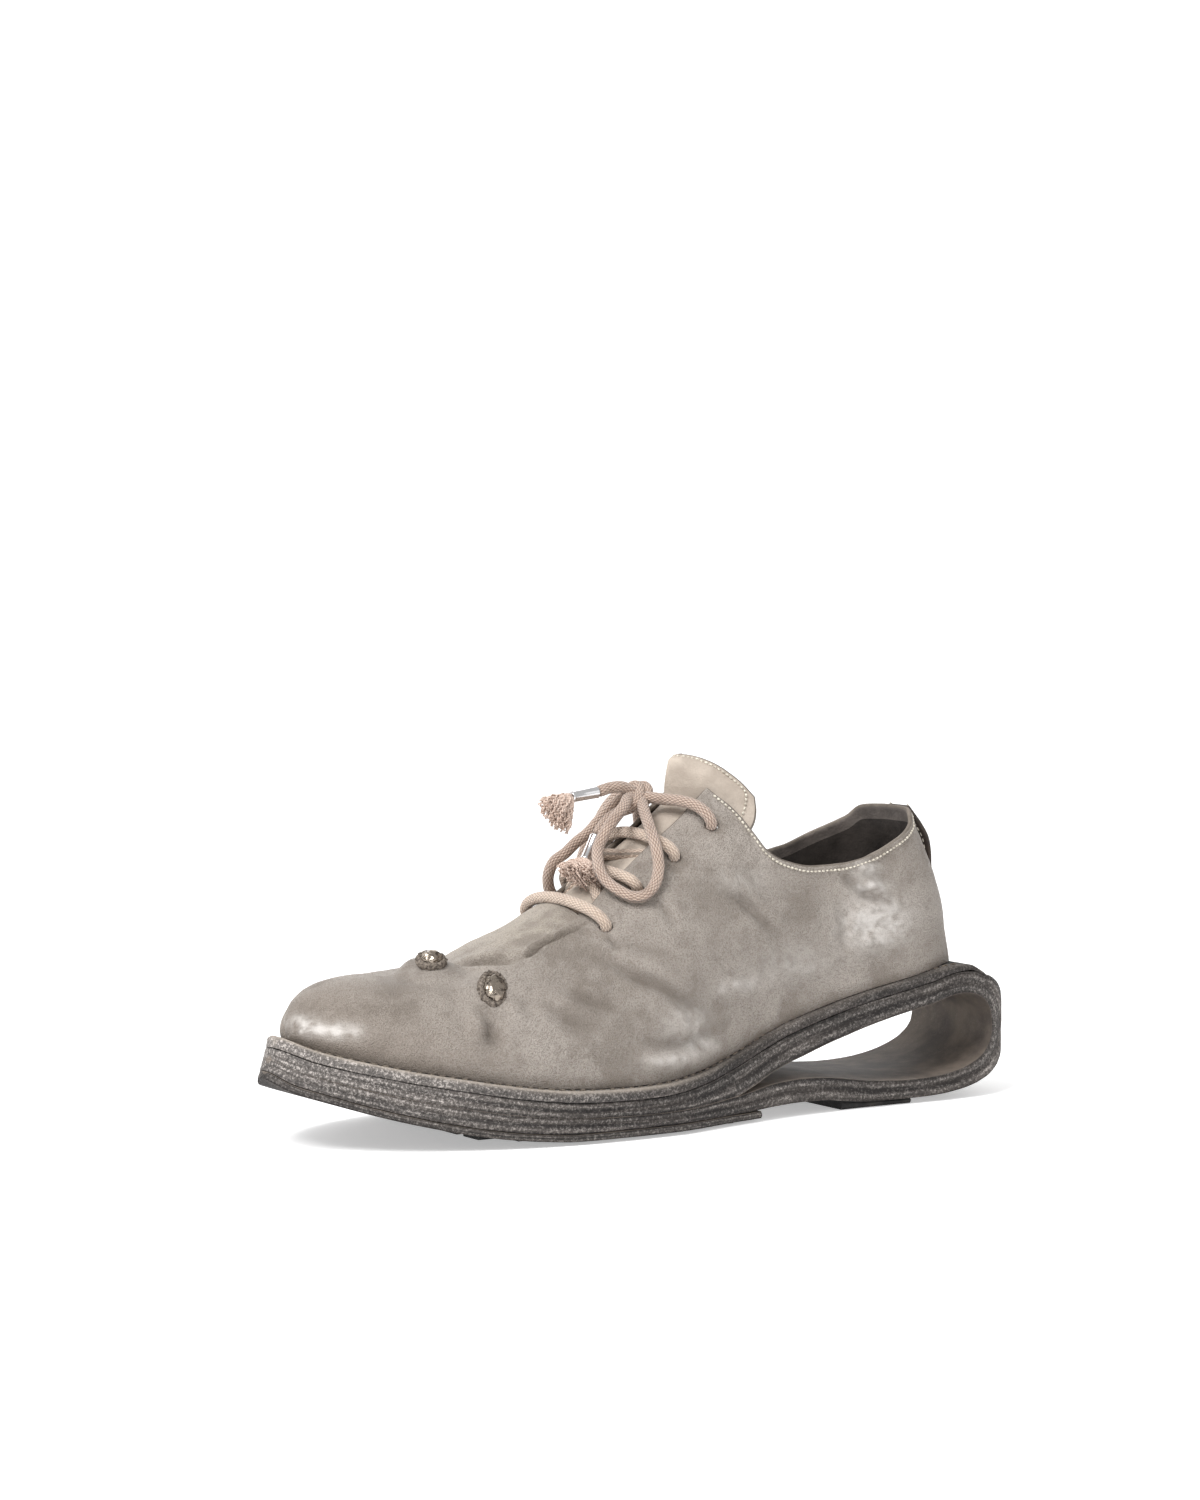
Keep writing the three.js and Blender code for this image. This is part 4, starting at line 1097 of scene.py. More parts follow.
@dataclass(frozen=True)
class Rubber(Finish):
    """Dark rubber with dust in its roughness."""

    name: str = "tread_rubber"
    colour: Colour = tone(42, 41, 41)

    fixed = dict(Specular_IOR_Level=0.3)

    def nodes(self, g: Graph) -> dict:
        """Adds the nodes.

        Args:
            g: The material's graph.

        Returns:
            What varies, by the shader's socket names.
        """
        place = g.place()
        dust = g.noise(place, 90, 4, 0.6).between(0.45, 0.75)
        speck = g.noise(place, 1200, 2, 0.6)
        colour = g.mix(dust * 0.3, self.colour, tone(120, 114, 108))
        return {"Base Color": colour, "Roughness": 0.7 + dust * 0.2, "Normal": g.bump(speck, 0.00025)}


@dataclass(frozen=True)
class Braid(Finish):
    """Round braided cotton cord, by UVs in metres along and round it."""

    name: str = "braid"
    pale: Colour = tone(214, 192, 176)
    dark: Colour = tone(132, 107, 94)
    strands: float = 6
    pitch: float = 0.0023
    girth: float = 0.0138

    fixed = dict(Specular_IOR_Level=0.15, Sheen_Weight=0.35)

    def nodes(self, g: Graph) -> dict:
        """Adds the nodes.

        Args:
            g: The material's graph.

        Returns:
            What varies, by the shader's socket names.
        """
        uv = g.axes(g.node("ShaderNodeTexCoord").outputs["UV"])
        turn = uv[1] / self.girth * (self.strands * 2 * math.pi)
        run = uv[0] / self.pitch * math.pi
        left = (turn + run).wave()
        right = (turn - run).wave()
        weave = (left * right).size()
        place = g.place()
        fuzz = g.noise(place, 2600, 3, 0.7)
        worn = g.noise(place, 120, 3, 0.6)
        # Painted shade: darker in the gaps between the strands, where the bump is low.
        colour = g.mix(weave.between(0.05, 0.55) * 0.75 + fuzz * 0.25, self.dark, self.pale)
        colour = g.mix(worn.between(0.5, 0.75) * 0.35, colour, self.dark)
        normal = g.bump(weave * 0.7 + fuzz * 0.7, 0.0006)
        return {"Base Color": colour, "Roughness": 0.9, "Normal": normal}


@dataclass(frozen=True)
class Metal(Finish):
    """Bare metal with faint wear."""

    name: str
    colour: Colour
    dark: Colour
    rough: float = 0.2
    wear: float = 0.5

    fixed = dict(Metallic=1.0)

    def nodes(self, g: Graph) -> dict:
        """Adds the nodes.

        Args:
            g: The material's graph.

        Returns:
            What varies, by the shader's socket names.
        """
        place = g.place()
        wear = g.noise(place, 500, 4, 0.6)
        colour = g.mix(wear.between(0.5, 0.66) * self.wear, self.colour, self.dark)
        normal = g.bump(wear, 0.0003 * self.wear)
        return {"Base Color": colour, "Roughness": self.rough + wear * 0.12, "Normal": normal}


@dataclass(frozen=True)
class Thread(Finish):
    """Twisted thread, or any small fuzzy thing of one tone."""

    name: str = "thread"
    pale: Colour = tone(226, 220, 206)
    dark: Colour = tone(176, 168, 154)

    fixed = dict(Roughness=0.85, Specular_IOR_Level=0.2)

    def nodes(self, g: Graph) -> dict:
        """Adds the nodes.

        Args:
            g: The material's graph.

        Returns:
            What varies, by the shader's socket names.
        """
        fuzz = g.noise(g.place(), 1400, 2, 0.6)
        return {"Base Color": g.mix(fuzz.between(0.35, 0.65), self.dark, self.pale)}


# Repeats: Geometry Nodes groups run once on a guide mesh


@dataclass(frozen=True)
class Repeat:
    """A Geometry Nodes group that lays copies of a small shape on a guide mesh.

    Attributes:
        name: The group's name.
        numbers: Its number inputs, by name.
        build: Adds the nodes between the guide's socket, the inputs and the shapes' socket.
    """

    name: str
    numbers: dict[str, float]
    build: Callable[[Graph, Socket, dict], Socket]

    def run(self, guide: Sheet, name: str, material: Material, edges: Sequence = ()) -> Piece:
        """Runs the group on a guide and keeps the mesh that it gives.

        Args:
            guide: Points, with faces or with edges.
            name: The piece's name.
            material: The copies' material.
            edges: Pairs of point numbers, where the guide is lines.

        Returns:
            The piece, as a plain mesh.
        """
        mesh = bpy.data.meshes.new(name)
        mesh.from_pydata((guide.points * MM).tolist(), list(edges), guide.faces)
        made = bpy.data.objects.new(name, mesh)
        bpy.context.scene.collection.objects.link(made)
        tree = bpy.data.node_groups.new(self.name, "GeometryNodeTree")
        face = tree.interface
        face.new_socket("Geometry", in_out="INPUT", socket_type="NodeSocketGeometry")
        for key, value in self.numbers.items():
            kind = "NodeSocketInt" if isinstance(value, int) else "NodeSocketFloat"
            face.new_socket(key, in_out="INPUT", socket_type=kind)
        face.new_socket("Material", in_out="INPUT", socket_type="NodeSocketMaterial")
        face.new_socket("Geometry", in_out="OUTPUT", socket_type="NodeSocketGeometry")
        graph = Graph(tree)
        start = graph.node("NodeGroupInput")
        shapes = self.build(graph, start.outputs["Geometry"], {k: start.outputs[k] for k in self.numbers})
        real = graph.node("GeometryNodeRealizeInstances", {}, {0: shapes})
        values = {"Geometry": real.outputs[0], "Material": start.outputs["Material"]}
        painted = graph.node("GeometryNodeSetMaterial", {}, values)
        graph.node("NodeGroupOutput", {}, {0: painted.outputs[0]})
        modifier = made.modifiers.new(self.name, "NODES")
        modifier.node_group = tree
        for item in face.items_tree:
            if item.in_out == "INPUT" and item.name in self.numbers:
                modifier[item.identifier] = self.numbers[item.name]
            elif item.in_out == "INPUT" and item.name == "Material":
                modifier[item.identifier] = material
        bpy.context.view_layer.update()
        evaluated = made.evaluated_get(bpy.context.evaluated_depsgraph_get())
        made.data = bpy.data.meshes.new_from_object(evaluated)
        made.modifiers.clear()
        made.data.polygons.foreach_set("use_smooth", np.ones(len(made.data.polygons), bool))
        if not len(made.data.materials):
            made.data.materials.append(material)
        return made


def stitch_repeat(length: float, gap: float, width: float, seed: int = 3) -> Repeat:
    """Stitches along lines: rounded dashes of a length, a gap and a width in millimetres.

    Args:
        length: A stitch's length.
        gap: The gap between two.
        width: A stitch's width.
        seed: The seed of their unevenness.

    Returns:
        The group.
    """

    def build(g: Graph, guide: Socket, numbers: dict) -> Socket:
        """Adds the nodes.

        Args:
            g: The group's graph.
            guide: The guide's socket.
            numbers: The inputs' sockets, by name.

        Returns:
            The shapes' socket.
        """
        line = g.node("GeometryNodeMeshToCurve", {}, {0: guide}).outputs[0]
        pitch = Value(g, numbers["Length"]) + Value(g, numbers["Gap"])
        spaced = g.node("GeometryNodeResampleCurve", {"mode": "LENGTH"}, {"Curve": line, "Length": pitch})
        tangent = g.node("GeometryNodeInputTangent").outputs[0]
        turned = g.node("FunctionNodeAlignRotationToVector", {"axis": "Z"}, {"Vector": tangent}).outputs[0]
        ball = g.node("GeometryNodeMeshUVSphere", {}, {"Segments": 8, "Rings": 6, "Radius": 0.5}).outputs[0]
        spread = {2: 0.86, 3: 1.14, "Seed": numbers["Seed"]}
        jitter = g.node("FunctionNodeRandomValue", {"data_type": "FLOAT"}, spread)
        factor = Value(g, jitter.outputs[1])
        across = Value(g, numbers["Width"]) * factor
        long = Value(g, numbers["Length"]) * factor
        scale = g.node("ShaderNodeCombineXYZ", {}, {0: across, 1: across, 2: long})
        values = {"Points": spaced.outputs[0], "Instance": ball, "Rotation": turned}
        values["Scale"] = scale.outputs[0]
        return g.node("GeometryNodeInstanceOnPoints", {}, values).outputs[0]

    numbers = {"Length": length * MM, "Gap": gap * MM, "Width": width * MM, "Seed": seed}
    return Repeat("stitches", numbers, build)


def lines_guide(lines: Sequence[Array]) -> tuple[Sheet, list[tuple[int, int]]]:
    """Polylines as one guide of points and edges.

    Args:
        lines: Rows of points.

    Returns:
        The guide and its edges.
    """
    edges = []
    first = 0
    for line in lines:
        edges += [(first + i, first + i + 1) for i in range(len(line) - 1)]
        first += len(line)
    return Sheet(np.vstack(lines), []), edges


def settle(made: Piece, slot: str, *nodes: str) -> Piece:
    """Gives a piece its body and hides the CAD nodes that it stands for.

    Args:
        made: The piece.
        slot: Its material slot, which is not used.
        nodes: The CAD nodes, if there are any.

    Returns:
        The same piece.
    """
    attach(made, "root")
    if nodes:
        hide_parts(*nodes)
    LOG.info("%s: %d faces", made.name, len(made.data.polygons))
    return made


def paint(made: Piece, name: str, numbers: Array) -> None:
    """Keeps a number at each of a mesh's vertices."""
    layer = made.data.attributes.new(name, "FLOAT", "POINT")
    layer.data.foreach_set("value", np.asarray(numbers, np.float32))


def rough_noise(points: Array, cell: float, seed: float, octaves: int = 3) -> Array:
    """Smooth noise from about -1 to 1 at points in millimetres, in cells of a size.

    Args:
        points: Places in millimetres.
        cell: A cell's size.
        seed: Where the noise starts.
        octaves: How many finer layers it has.

    Returns:
        One value for each point.
    """
    shift = Vector((seed * 7.13, seed * 3.71, seed * 11.9))
    places = points / cell
    return np.array([noise.fractal(Vector(p) + shift, 0.6, 2.0, octaves) for p in places.tolist()])


# The sole


@dataclass(frozen=True)
class RibProfile:
    """The side of a band: rounded ribs with a groove between them, as shares of its thickness."""

    ribs: int = 2
    groove: float = 0.13
    depth: float = 0.42
    ends: float = 0.5
    rows: int = 27

    def rows_of(self) -> list[tuple[float, float, float]]:
        """The profile's rows: how far through the band, how far back, and how near to a rib's edge.

        Returns:
            The rows, from the outer to the inner line.
        """
        made = []
        for share in np.linspace(0, 1, self.rows):
            place = share * self.ribs
            gap = abs(place - round(place)) / (self.groove * self.ribs)
            ends = self.ends if share in (0, 1) else 1
            back = self.depth * ends * math.exp(-(gap**2))
            # Nearness to a rib's crest, which the finish paints paler with dust and a painted highlight.
            edge = math.exp(-(((gap - 2.0) / 0.8) ** 2))
            made.append((float(share), back, edge))
        return made


@dataclass
class Band:
    """One closed band of the sole, from an outer to an inner line, with ribs on both sides.

    Attributes:
        outer: Its outer line, as rows of distance along and height.
        inner: Its inner line, row for row.
        profile: The shape of its sides.
        ragged: How uneven its sides are, in millimetres.
        seed: The seed of that unevenness.
    """

    outer: Array
    inner: Array
    profile: RibProfile
    ragged: float = 0.22
    seed: float = 1.0

    def rings(self) -> tuple[Array, dict[str, Array]]:
        """The rings round the band, and the numbers painted on them.

        Returns:
            The rings and the painted numbers, by name.
        """
        rows = self.profile.rows_of()
        share = np.array([row[0] for row in rows])
        back = np.array([row[1] for row in rows])
        edge = np.array([row[2] for row in rows])
        line = self.outer[:, None, :] + (self.inner - self.outer)[:, None, :] * share[None, :, None]
        along, up = line[..., 0], line[..., 1]
        low, top = LAST.under_line(along), LAST.raked_top(along)
        height = np.clip((up - low) / (top - low), 0, 1)
        ahead = along + LAST.rake(along) * height
        sides = []
        for side in (Side.LATERAL, Side.MEDIAL):
            half = np.maximum(LAST.half_width(along, side) - back, 1)
            ring = LAST.at(ahead, side.value * half, up)
            shaken = rough_noise(ring.reshape(-1, 3), 2.2, self.seed, 3).reshape(along.shape)
            slow = rough_noise(ring.reshape(-1, 3), 14, self.seed + 5, 2).reshape(along.shape)
            ring[..., 1] += side.value * (shaken * self.ragged + slow * self.ragged) * (half > 3)
            sides.append(ring)
        rings = np.concatenate([sides[0], sides[1][:, ::-1]], axis=1)
        steps = np.linalg.norm(np.diff(self.outer, axis=0), axis=1)
        run = np.concatenate([[0], np.cumsum(steps)])
        ones = np.ones((len(run), 1))
        painted = {
            "edge": np.concatenate([ones * edge, ones * edge[::-1]], axis=1),
            "level": np.concatenate([ones * share, ones * share[::-1]], axis=1) * 0.012,
            "run": np.repeat(run[:, None], 2 * len(rows), axis=1) * MM,
            "inner": np.concatenate([ones * (share == 1), ones * (share[::-1] == 1)], axis=1),
        }
        return rings, painted

    def build(self, name: str, material: Material, dust: Callable[[Array], Array]) -> Piece:
        """Makes the band.

        Args:
            name: The piece's name.
            material: Its finish.
            dust: How dusty each point is, from 0 to 1.

        Returns:
            The piece.
        """
        rings, painted = self.rings()
        made = loft(rings).object(name, [material], crisp=40)
        for key, numbers in painted.items():
            flat = numbers.reshape(-1)
            paint(made, key, np.concatenate([flat, [flat[0], flat[-1]]]))
        points = np.zeros(len(made.data.vertices) * 3)
        made.data.vertices.foreach_get("co", points)
        paint(made, "dust", np.clip(dust(points.reshape(-1, 3) / MM), 0, 1))
        return made


@dataclass
class Sole:
    """The forefoot's two layers, the loop behind the waist, the half sole and the heel's pad."""

    profile: RibProfile = field(default_factory=RibProfile)
    half_sole_end: float = 0.596
    toe_round_end: float = 0.16
    lug_length: float = 9
    lug_width: float = 11
    lug_pitch: float = 16.5
    lug_row: float = 15.5
    lug_inset: float = 2.5
    first_lug: float = 67
    pad_start: float = 0.73
    pad_end: float = 0.835
    pad_inset: float = 2.5

    def block_lines(self, along: Array) -> tuple[Array, Array, Array]:
        """The underside, the split and the top of the forefoot's layers.

        Args:
            along: Distances from the toe.

        Returns:
            The three lines of heights.
        """
        low = LAST.under_line(along) + LAST.half_sole + LAST.seam
        top = LAST.band_top(along)
        foot = LAST.floor_under(LAST.split)
        crotch = (LAST.floor_top(LAST.split) - foot) / (LAST.band_top(LAST.split) - foot)
        start = 0.3 * LAST.length
        shift = np.maximum((along - start) / (LAST.split - start), 0)
        return low, low + (top - low) * (0.5 + (crotch - 0.5) * shift), top

    def toe_stations(self, end: float) -> Array:
        """Distances from the toe, crowded where the toe rounds off."""
        bend = self.toe_round_end * LAST.length
        return np.concatenate([crowded(0, bend, 44), np.linspace(bend, end, 92)[1:]])

    def loop_lines(self) -> tuple[Array, Array]:
        """The loop's outer and inner line, from the split along the floor and back under the seat.

        Returns:
            Rows of distance along and height for each line.
        """
        inner_end = LAST.length - LAST.bend
        floor = np.linspace(LAST.split, LAST.floor_bend, 66)
        outer = [(a, float(LAST.floor_under(a))) for a in floor]
        inner = [(a, float(LAST.floor_top(a))) for a in floor]

        def bend(angle: float, start: tuple[float, float], end: tuple[float, float]) -> tuple[float, float]:
            """A point of a rounded quarter turn."""
            along = start[0] + (end[0] - start[0]) * math.sin(angle) ** (2 / 2.3)
            return along, end[1] + (start[1] - end[1]) * math.cos(angle) ** (2 / 2.3)

        quarter = np.linspace(0, math.pi / 2, 25)[1:]
        for angle in quarter:
            outer.append(bend(angle, outer[65], (LAST.length, LAST.bend_height - 1)))
            inner.append(bend(angle, inner[65], (inner_end, LAST.bend_height + 1)))
        top = float(LAST.band_top(LAST.seat_bend))
        under = top - float(LAST.seat_depth(LAST.length))
        for angle in quarter[:-1][::-1]:
            point = bend(angle, (LAST.seat_bend, top), (LAST.length, LAST.bend_height - 1))
            if point[0] < LAST.welt_end:
                point = (point[0], min(point[1], float(LAST.band_top(point[0]))))
            outer.append(point)
            inner.append(bend(angle, (LAST.seat_bend, under), (inner_end, LAST.bend_height + 1)))
        for along in np.linspace(LAST.seat_bend, LAST.split, 78):
            top = float(LAST.band_top(along))
            middle = float(self.block_lines(along)[1])
            outer.append((along, top))
            behind = along > LAST.split + 1e-6
            inner.append((along, top - float(LAST.seat_depth(along)) if behind else middle))
        return np.array(outer), np.array(inner)

    def build_stack(self, material: Material) -> list[Piece]:
        """Makes the forefoot's layers and the loop.

        Args:
            material: Their finish.

        Returns:
            The two pieces.
        """

        def dust(points: Array) -> Array:
            """Paler on top of the layers and towards the toe, and on the bend.

            Args:
                points: Places in millimetres.

            Returns:
                How dusty, from 0 to 1.
            """
            along = points[:, 0] + LAST.length / 2
            low, top = LAST.under_line(along), LAST.top_line(along)
            height = np.clip((points[:, 2] - low) / (top - low), 0, 1)
            toe = np.clip(1 - along / (0.34 * LAST.length), 0, 1)
            back = np.clip((along - 0.9 * LAST.length) / 25, 0, 1)
            return 0.02 + 0.8 * toe * (0.25 + 0.75 * height) + 0.2 * back

        stations = self.toe_stations(LAST.split)
        low, middle, top = self.block_lines(stations)
        floor_outer, floor_inner = self.loop_lines()
        outer = np.vstack([np.stack([stations, low], 1)[:-1], floor_outer])
        inner = np.vstack([np.stack([stations, middle + 0.2], 1)[:-1], floor_inner])
        lower = Band(outer, inner, self.profile)
        upper = Band(np.stack([stations, top], 1), np.stack([stations, middle], 1), self.profile, seed=4.0)
        pieces = [lower.build("sole_loop", material, dust), upper.build("sole_upper_layer", material, dust)]
        settle(pieces[0], "sole", "loop_sole")
        settle(pieces[1], "sole")
        return pieces

    def build_tread(self, material: Material, side: Material) -> list[Piece]:
        """Makes the half sole's plate, its lugs and the heel's pad.

        Args:
            material: The lugs' and the pad's finish.
            side: The plate's finish.

        Returns:
            The plate, the lugs and the pad.
        """
        flat = RibProfile(ribs=1, groove=0.16, depth=0.8, rows=9)
        stations = self.toe_stations(self.half_sole_end * LAST.length)
        low = LAST.under_line(stations)
        top = np.stack([stations, low + LAST.half_sole], 1)
        plate = Band(np.stack([stations, low], 1), top, flat, 0.12, 7.0)

        def clean(points: Array) -> Array:
            """No dust anywhere."""
            return points[:, 0] * 0

        made = [plate.build("half_sole_plate", side, clean)]
        settle(made[0], "tread", "half_sole")
        made.append(self.build_lugs(material))
        pad_along = np.linspace(self.pad_start * LAST.length, self.pad_end * LAST.length, 30)
        under = LAST.floor_under(pad_along) - LAST.seam
        pad = Band(np.stack([pad_along, pad_along * 0], 1), np.stack([pad_along, under], 1), flat, 0.1, 9.0)
        rings, _ = pad.rings()
        rings[..., 1] -= np.sign(rings[..., 1]) * self.pad_inset
        made.append(settle(loft(rings).object("heel_pad_block", [material], 40), "tread", "heel_pad"))
        return made

    def build_lugs(self, material: Material) -> Piece:
        """Makes the half sole's lugs, one at each guide point that has room.

        Args:
            material: Their finish.

        Returns:
            The piece.
        """
        places = []
        end = self.half_sole_end * LAST.length
        for along in np.arange(self.first_lug, end - self.lug_length, self.lug_pitch):
            for row in range(-3, 4):
                out = row * self.lug_row
                side = Side.LATERAL if out < 0 else Side.MEDIAL
                room = min(float(LAST.half_width(a, side)) for a in (along, along + self.lug_length))
                if abs(out) + self.lug_width / 2 + self.lug_inset <= room:
                    middle = along + self.lug_length / 2
                    places.append(LAST.at(middle, out, LAST.under_line(middle) - LAST.lug / 2 + 0.3))

        def build(g: Graph, guide: Socket, numbers: dict) -> Socket:
            """Adds the nodes.

            Args:
                g: The group's graph.
                guide: The guide's socket.
                numbers: The inputs' sockets, by name.

            Returns:
                The shapes' socket.
            """
            sides = {i: numbers[key] for i, key in enumerate(("Length", "Width", "Depth"))}
            size = g.node("ShaderNodeCombineXYZ", {}, sides)
            values = {"Size": size.outputs[0], "Vertices X": 4, "Vertices Y": 4, "Vertices Z": 2}
            block = g.node("GeometryNodeMeshCube", {}, values).outputs[0]
            seed = numbers["Seed"]
            spread = {2: 0.95, 3: 1.02, "Seed": seed}
            jitter = g.node("FunctionNodeRandomValue", {"data_type": "FLOAT"}, spread)
            scale = g.node("ShaderNodeCombineXYZ", {}, {0: jitter.outputs[1], 1: jitter.outputs[1], 2: 1.0})
            values = {"Points": guide, "Instance": block, "Scale": scale.outputs[0]}
            return g.node("GeometryNodeInstanceOnPoints", {}, values).outputs[0]

        numbers = {"Length": self.lug_length * MM, "Width": self.lug_width * MM}
        numbers = {**numbers, "Depth": (LAST.lug + 0.6) * MM, "Seed": 5}
        repeat = Repeat("tread_lugs", numbers, build)
        made = repeat.run(Sheet(np.array(places), []), "half_sole_lugs", material)
        made.data.polygons.foreach_set("use_smooth", np.zeros(len(made.data.polygons), bool))
        return settle(made, "tread")


@dataclass
class Welt:
    """The top layer, whose pale, dusty ledge carries the upper and its row of stitches."""

    ragged: float = 0.2
    stitch: float = 2.6
    gap: float = 1.5
    inset: float = 3.2
    rows: tuple[tuple[float, float], ...] = (
        (0, 0.9), (0.08, 0.3), (0.25, -0.45), (0.5, -0.35), (0.75, -0.25), (0.92, 0.0), (1, 0.3),
    )

    def stations(self) -> Array:
        """Distances from the toe to the welt's end, crowded at the toe."""
        bend = 0.16 * LAST.length
        return np.concatenate([crowded(0, bend, 50), np.linspace(bend, LAST.welt_end - 0.5, 190)[1:]])

    def build(self, material: Material) -> Piece:
        """Makes the welt: a ledge on each side of the upper's foot, and the plate between them.

        Args:
            material: Its finish.

        Returns:
            The piece.
        """
        along = self.stations()
        top = LAST.raked_top(along)
        depth = LAST.welt_depth(along)
        sides = []
        for side in (Side.LATERAL, Side.MEDIAL):
            columns = []
            for inward in (7.0, 4.5, 2.4, 1.0):
                half = np.maximum(LAST.half_width(along, side) - inward, 0.4)
                columns.append(self.shaken(along, half, top, 0.0, side, 0.28))
            for share, back in self.rows:
                half = np.maximum(LAST.half_width(along, side) - back, 0.8)
                columns.append(self.shaken(along, half, top - depth * share, share, side, self.ragged))
            sides.append(np.stack(columns, axis=1))
        rings = np.concatenate([sides[0], sides[1][:, ::-1]], axis=1)
        made = loft(rings).object("welt_layer", [material], crisp=45)
        count = 4 + len(self.rows)
        # The two inner columns of the top stay dark: painted shade where the ledge meets the upper's foot.
        edge = np.array([0.0, 0.0, 0.45, 0.9] + [0.95, 0.75, 0.15, 0.0, 0.0, 0.0, 0.0])
        ring = np.concatenate([edge, edge[::-1]])
        fade = 1 - 0.85 * np.clip((along - 0.4 * LAST.length) / (0.16 * LAST.length), 0, 1)
        ledge = (fade[:, None] * ring[None, :]).ravel()
        paint(made, "ledge", np.concatenate([ledge, [0.5, 0.0]]))
        run = np.repeat(along, 2 * count) * MM
        paint(made, "run", np.concatenate([run, [run[0], run[-1]]]))
        back = np.clip((along - 0.1 * LAST.length) / (0.4 * LAST.length), 0, 1)
        dust = np.repeat(0.85 - 0.78 * back, 2 * count)
        paint(made, "dust", np.concatenate([dust, [dust[0], dust[-1]]]))
        level = np.tile(np.concatenate([np.arange(count), np.arange(count)[::-1]]) * 0.0006, len(along))
        paint(made, "level", np.concatenate([level, [0, 0]]))
        return settle(made, "welt", "welt")

    def shaken(self, along: Array, half: Array, up: Array, share: float, side: Side, size: float) -> Array:
        """A line along the welt's side, made uneven across and up.

        Args:
            along: Distances from the toe.
            half: Half widths.
            up: Heights.
            share: How far down the side, from 0 to 1.
            side: The side of the foot.
            size: How uneven, in millimetres.

        Returns:
            The line's points.
        """
        line = LAST.at(along + LAST.rake(along) * (1 - 0.2 * share), side.value * half, up)
        across = rough_noise(line, 1.6, 11 + share, 3)
        upward = rough_noise(line, 1.8, 19 + share * 0.3, 3)
        line[:, 1] += side.value * across * size * (half > 3)
        line[:, 2] += upward * size * 0.4 * (1 if share < 0.3 else 0)
        return line

    def build_stitches(self, material: Material) -> Piece:
        """Makes the stitches that lie on the ledge.

        Args:
            material: Their finish.

        Returns:
            The piece.
        """
        lines = []
        for side in (Side.LATERAL, Side.MEDIAL):
            along = np.linspace(5, 0.9 * LAST.length, 400)
            half = LAST.half_width(along, side) - self.inset
            line = LAST.at(along + LAST.rake(along), side.value * half, LAST.raked_top(along) + 0.1)
            lines.append(line)
        guide, edges = lines_guide(lines)
        repeat = stitch_repeat(self.stitch, self.gap, 0.8)
        return settle(repeat.run(guide, "welt_stitches", material, edges), "welt")


# The upper


@dataclass(frozen=True)
class Crease:
    """A trough or a ridge in the leather along a given line.

    Attributes:
        name: What it is.
        height: How far it stands out, in millimetres, below 0 for a trough.
        width: Its half width in millimetres.
        line: Places on the shoe, as shares of the sole's length, the ball's half width and the
            back's height.
        shoulder: How high its sides swell the other way, as a share of its height.
    """

    name: str
    height: float
    width: float
    line: tuple[tuple[float, float, float], ...]
    shoulder: float = 0.45


